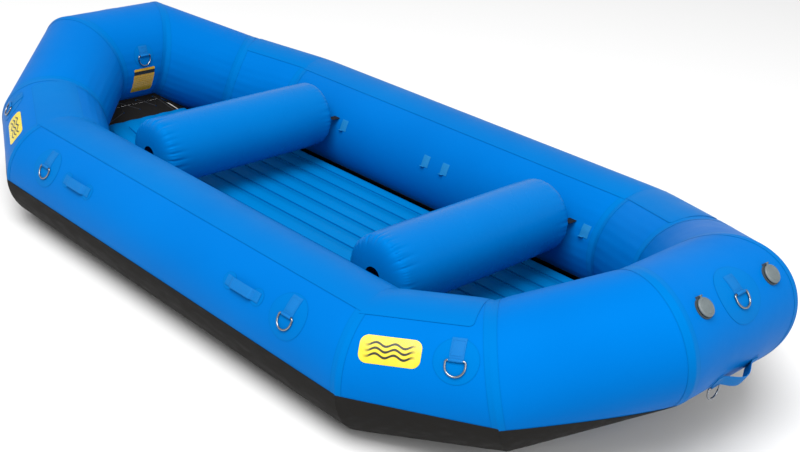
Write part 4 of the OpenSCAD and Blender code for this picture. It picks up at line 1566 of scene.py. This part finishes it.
    def patch(self, tube: int, s: float, phi: float, radius: float) -> bpy.types.Object:
        """Cuts a flat round patch, paints shade round its edge and lays it on a tube."""
        Bench.clear()
        bpy.ops.mesh.primitive_circle_add(vertices=72, radius=radius, fill_type="NGON")
        obj = Bench.take("patch")
        Bench.edit(obj)
        bpy.ops.mesh.inset(thickness=self.patch_rim)
        Bench.slice_rows(obj, radius)
        co = Bench.points(obj)
        # Painted shade in a ring round the patch's edge.
        edge_shade = np.clip((np.hypot(co[:, 0], co[:, 1]) - radius + self.patch_rim) / self.patch_rim, 0, 1)
        Bench.paint_edge_shade(obj, edge_shade)
        co[:, 2] = GLUE
        Bench.move(obj, co)
        Bench.modify(obj, "SOLIDIFY", thickness=self.patch_t - GLUE, offset=1.0)
        Bench.map_cut(obj, Bench.points(obj)[:, :2])
        self.ring.lay(obj, tube, s, phi)
        return obj

    def handle(
        self, tube: int, s: float, phi: float, gap: float, half: float, width: float
    ) -> bpy.types.Object:
        """Builds a webbing handle that arches off the tube between its two glued ends."""
        obj = Bench.grid("handle", 64, 6)
        co = Bench.points(obj)
        x = (co[:, 0] * 2 - 1) * half
        y = (co[:, 1] - 0.5) * width
        foot = half - 0.032
        ramp = foot if gap > 0.03 else 0.9 * gap
        rise = np.sin(np.clip((foot - np.abs(x)) / ramp, 0, 1) * math.pi / 2) ** 1.4
        low = self.patch_t + GLUE
        z = low + (gap - low) * rise
        Bench.map_cut(obj, np.stack([x, y], axis=1))
        Bench.move(obj, np.stack([x, y, z], axis=1))
        Bench.modify(obj, "SOLIDIFY", thickness=self.strap_t, offset=1.0)
        Bench.modify(obj, "BEVEL", width=0.0006, segments=2, limit_method="ANGLE")
        self.ring.lay(obj, tube, s, phi)
        return obj


@dataclass
class Valves:
    """The four inflation valves with their domed caps, plungers and springs."""

    ring: HullRing
    valve_y: float = 0.196
    bow_phi: float = 47.0
    stern_phi: float = 20.0
    cap_r: float = 0.034
    dome_h: float = 0.011
    top: float = 0.009
    skirt_r: float = 0.0295
    skirt_bore: float = 0.027
    skirt_h: float = 0.0025
    hinge_y: float = 0.0395
    hinge_z: float = 0.012
    rim_h: float = 0.0018
    ribs: int = 24
    knuckle_half: float = 0.0044
    groove: tuple[tuple[float, float], ...] = (
        (0.0245, 0.0),
        (0.0252, 0.0008),
        (0.0265, 0.0008),
        (0.0272, 0.0),
    )

    def build(self) -> None:
        """Builds and dresses the caps and the kept nodes of the valves."""
        cap = self.cap()
        mid = self.ring.end_y
        for tube, s, phi, name in (
            (2, mid - self.valve_y, self.bow_phi, "bow_left"),
            (2, mid + self.valve_y, self.bow_phi, "bow_right"),
            (8, mid + self.valve_y, self.stern_phi, "stern_left"),
            (8, mid - self.valve_y, self.stern_phi, "stern_right"),
        ):
            node = "valve_cap_" + name
            dome = Bench.copy(cap, node + "_domed")
            dome.data.transform(self.ring.stand(tube, s, phi))
            dress(dome, GREY_NYLON, body=node, nodes=(node,))
            dress_node("plunger_" + name, BLACK_NYLON)
        bpy.data.objects.remove(cap)
        dress_node("valve_bodies", DARK_NYLON)
        dress_node("valve_springs", SPRING_STEEL)

    def cap(self) -> bpy.types.Object:
        """Turns one domed cap with its skirt, and adds its grip ribs and hinge tether."""
        base = self.top + 0.0004
        low = self.top - self.skirt_h
        radii = [self.cap_r * math.sin(t) for t in np.linspace(0, math.pi / 2, 14)]
        dome = [(r, self.at_dome(r, base)) for r in radii if not 0.0245 < r < 0.0275]
        groove = [(r, self.at_dome(r, base) - d) for r, d in self.groove]
        profile = sorted(dome + groove, key=lambda p: p[0])
        profile[0] = (0.0, base + self.dome_h)
        profile += [(self.cap_r, base + 0.0004), (self.cap_r - 0.0006, base)]
        profile += [(self.skirt_r, base), (self.skirt_r, low), (self.skirt_bore, low)]
        profile += [(self.skirt_bore, base), (0.0, base)]
        parts = [Bench.turned("cap", profile, 72)]
        for k in range(self.ribs):
            middle = (0, self.cap_r - 0.0012, base + 0.0016)
            rib = Bench.block("rib", (0.0022, 0.0026, 0.0024), middle, 0.0005)
            rib.data.transform(Matrix.Rotation(2 * math.pi * k / self.ribs, 4, "Z"))
            parts.append(rib)
        reach = self.hinge_y - 0.028
        middle = (0, 0.028 + reach / 2, self.top + 0.0025)
        parts.append(Bench.block("tether", (2 * self.knuckle_half, reach, 0.0036), middle, 0.0008))
        right = [(0.0028, 0.004), (0.0024, self.knuckle_half), (0.0013, self.knuckle_half)]
        left = [(r, -y) for r, y in reversed(right)]
        knuckle = Bench.turned("knuckle", [*left, *right, left[0]], 28)
        place = Matrix.Translation((0, self.hinge_y, self.hinge_z))
        knuckle.data.transform(place @ Matrix.Rotation(math.pi / 2, 4, "Y"))
        parts.append(knuckle)
        return Bench.join(parts, "cap")

    def at_dome(self, r: float, base: float) -> float:
        """Returns the dome's height at a radius."""
        round_share = math.sqrt(max(0.0, 1 - (r / self.cap_r) ** 2)) ** 0.9
        return base + self.rim_h + (self.dome_h - self.rim_h) * round_share


@dataclass
class Badges:
    """Plain yellow badges on the shoulders and the ruled label inside the stern."""

    ring: HullRing
    badge_s: float = 0.128
    badge_phi: float = 37.0
    badge: tuple[float, float, float] = (0.216, 0.096, 0.030)
    label: tuple[float, float, float] = (0.125, 0.146, 0.006)
    label_phi: float = 199.0
    film: float = 0.0004
    row: float = 0.006

    def build(self) -> None:
        """Builds and dresses the badges and the label."""
        badges = []
        for tube in range(12):
            if self.ring.kind(tube) is Kind.SHOULDER:
                s = self.badge_s if self.ring.steps[tube] == 0 else self.ring.length[tube] - self.badge_s
                badges.append(self.film_on(tube, s, self.badge_phi, self.badge))
        dress(Bench.join(badges, "yellow_badges"), BADGE_VINYL, nodes=("decals",))
        label = self.film_on(8, self.ring.end_y, self.label_phi, self.label)
        label.name = "ruled_label"
        dress(label, LABEL_VINYL, nodes=("info_label",))

    def film_on(
        self, tube: int, s: float, phi: float, size: tuple[float, float, float]
    ) -> bpy.types.Object:
        """Cuts a rectangle of film with round corners and lays it on a tube.

        Args:
            tube: The tube that carries it.
            s: Distance along the tube.
            phi: Angle above the outboard level, in degrees.
            size: Length along the tube, height and corner radius.

        Returns:
            The laid film.
        """
        Bench.clear()
        bpy.ops.mesh.primitive_plane_add(size=1)
        obj = Bench.take("film")
        obj.data.transform(Matrix.Diagonal((size[0], size[1], 1, 1)))
        Bench.edit(obj)
        bpy.ops.mesh.bevel(offset=size[2], segments=10, affect="VERTICES")
        Bench.slice_rows(obj, size[1] / 2, self.row)
        co = Bench.points(obj)
        Bench.map_cut(obj, co[:, :2] * [-1 if math.cos(math.radians(phi)) < 0 else 1, 1])
        co[:, 2] = GLUE
        Bench.move(obj, co)
        Bench.modify(obj, "SOLIDIFY", thickness=self.film, offset=1.0)
        self.ring.lay(obj, tube, s, phi)
        return obj


@dataclass
class Studio:
    """The pale floor, the soft lights and the camera."""

    azimuth: float = 48.209
    elevation: float = 27.124
    roll: float = 2.747
    distance: float = 5.2533
    target: tuple[float, float, float] = (0.1613, -0.3450, 0.1103)
    lens: float = 55.73
    shift: tuple[float, float] = (0.1236, 0.0534)
    key_power: float = 2700.0
    fill_power: float = 640.0
    light_distance: float = 14.0
    world_strength: float = 0.74

    def build(self) -> None:
        """Builds the camera, the paper floor, the lights and the world."""
        self.camera()
        self.paper()
        self.lights()
        bpy.context.scene.view_settings.view_transform = "Standard"
        LOG.info("studio: camera, paper and lights")

    def back(self, azimuth: float, elevation: float) -> Vector:
        """Returns the direction from the target to a place at an azimuth and elevation in degrees."""
        a, e = math.radians(azimuth), math.radians(elevation)
        return Vector((math.sin(a) * math.cos(e), -math.cos(a) * math.cos(e), math.sin(e)))

    def camera(self) -> None:
        """Places the camera, with the roll that levels the raft in its frame."""
        bpy.ops.object.camera_add()
        camera = bpy.context.active_object
        camera.name = "studio_camera"
        back = self.back(self.azimuth, self.elevation)
        look = (-back).to_track_quat("-Z", "Y").to_matrix().to_4x4()
        turn = Matrix.Rotation(math.radians(self.roll), 4, "Z")
        place = Matrix.Translation(Vector(self.target) + back * self.distance)
        camera.matrix_world = place @ look @ turn
        camera.data.lens = self.lens
        camera.data.sensor_width = 36.0
        camera.data.shift_x, camera.data.shift_y = self.shift
        bpy.context.scene.camera = camera

    def paper(self) -> None:
        """Lays the sweep of paper that the raft stands on."""
        Bench.clear()
        bpy.ops.mesh.primitive_grid_add(x_subdivisions=8, y_subdivisions=8, size=60)
        paper = Bench.take("studio_paper")
        paper.data.materials.append(PAPER.material())

    def soft_box(self, name: str, azimuth: float, elevation: float, power: float, size: float) -> None:
        """Hangs a square soft box that faces the raft.

        Args:
            name: Its name.
            azimuth: Its direction round the raft in degrees.
            elevation: Its height above the level in degrees.
            power: Its power in watts.
            size: Its side in metres.
        """
        bpy.ops.object.light_add(type="AREA")
        light = bpy.context.active_object
        light.name = name
        light.data.size = size
        light.data.energy = power
        away = self.back(azimuth, elevation)
        light.location = Vector((0, 0, 0.3)) + away * self.light_distance
        light.rotation_euler = (-away).to_track_quat("-Z", "Y").to_euler()

    def lights(self) -> None:
        """Hangs the soft boxes and sets the pale world round them."""
        self.soft_box("overhead_soft_box", 25, 62, self.key_power, 9.0)
        self.soft_box("side_soft_box", 70, 28, self.fill_power, 7.0)
        world = bpy.data.worlds.new("studio")
        bpy.context.scene.world = world
        world.use_nodes = True
        background = world.node_tree.nodes["Background"]
        background.inputs["Color"].default_value = (1, 1, 1, 1)
        background.inputs["Strength"].default_value = self.world_strength


def main() -> None:
    """Builds the raft's looks in order."""
    logging.basicConfig(level=logging.INFO, format="%(name)s: %(message)s")
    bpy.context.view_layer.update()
    Studio().build()
    ring = HullRing()
    HullTubes(ring).build()
    WearLayers(ring).build()
    Floor(ring).build()
    Thwarts().build()
    Fittings(ring).build()
    Valves(ring).build()
    Badges(ring).build()


if __name__ == "__main__":
    main()
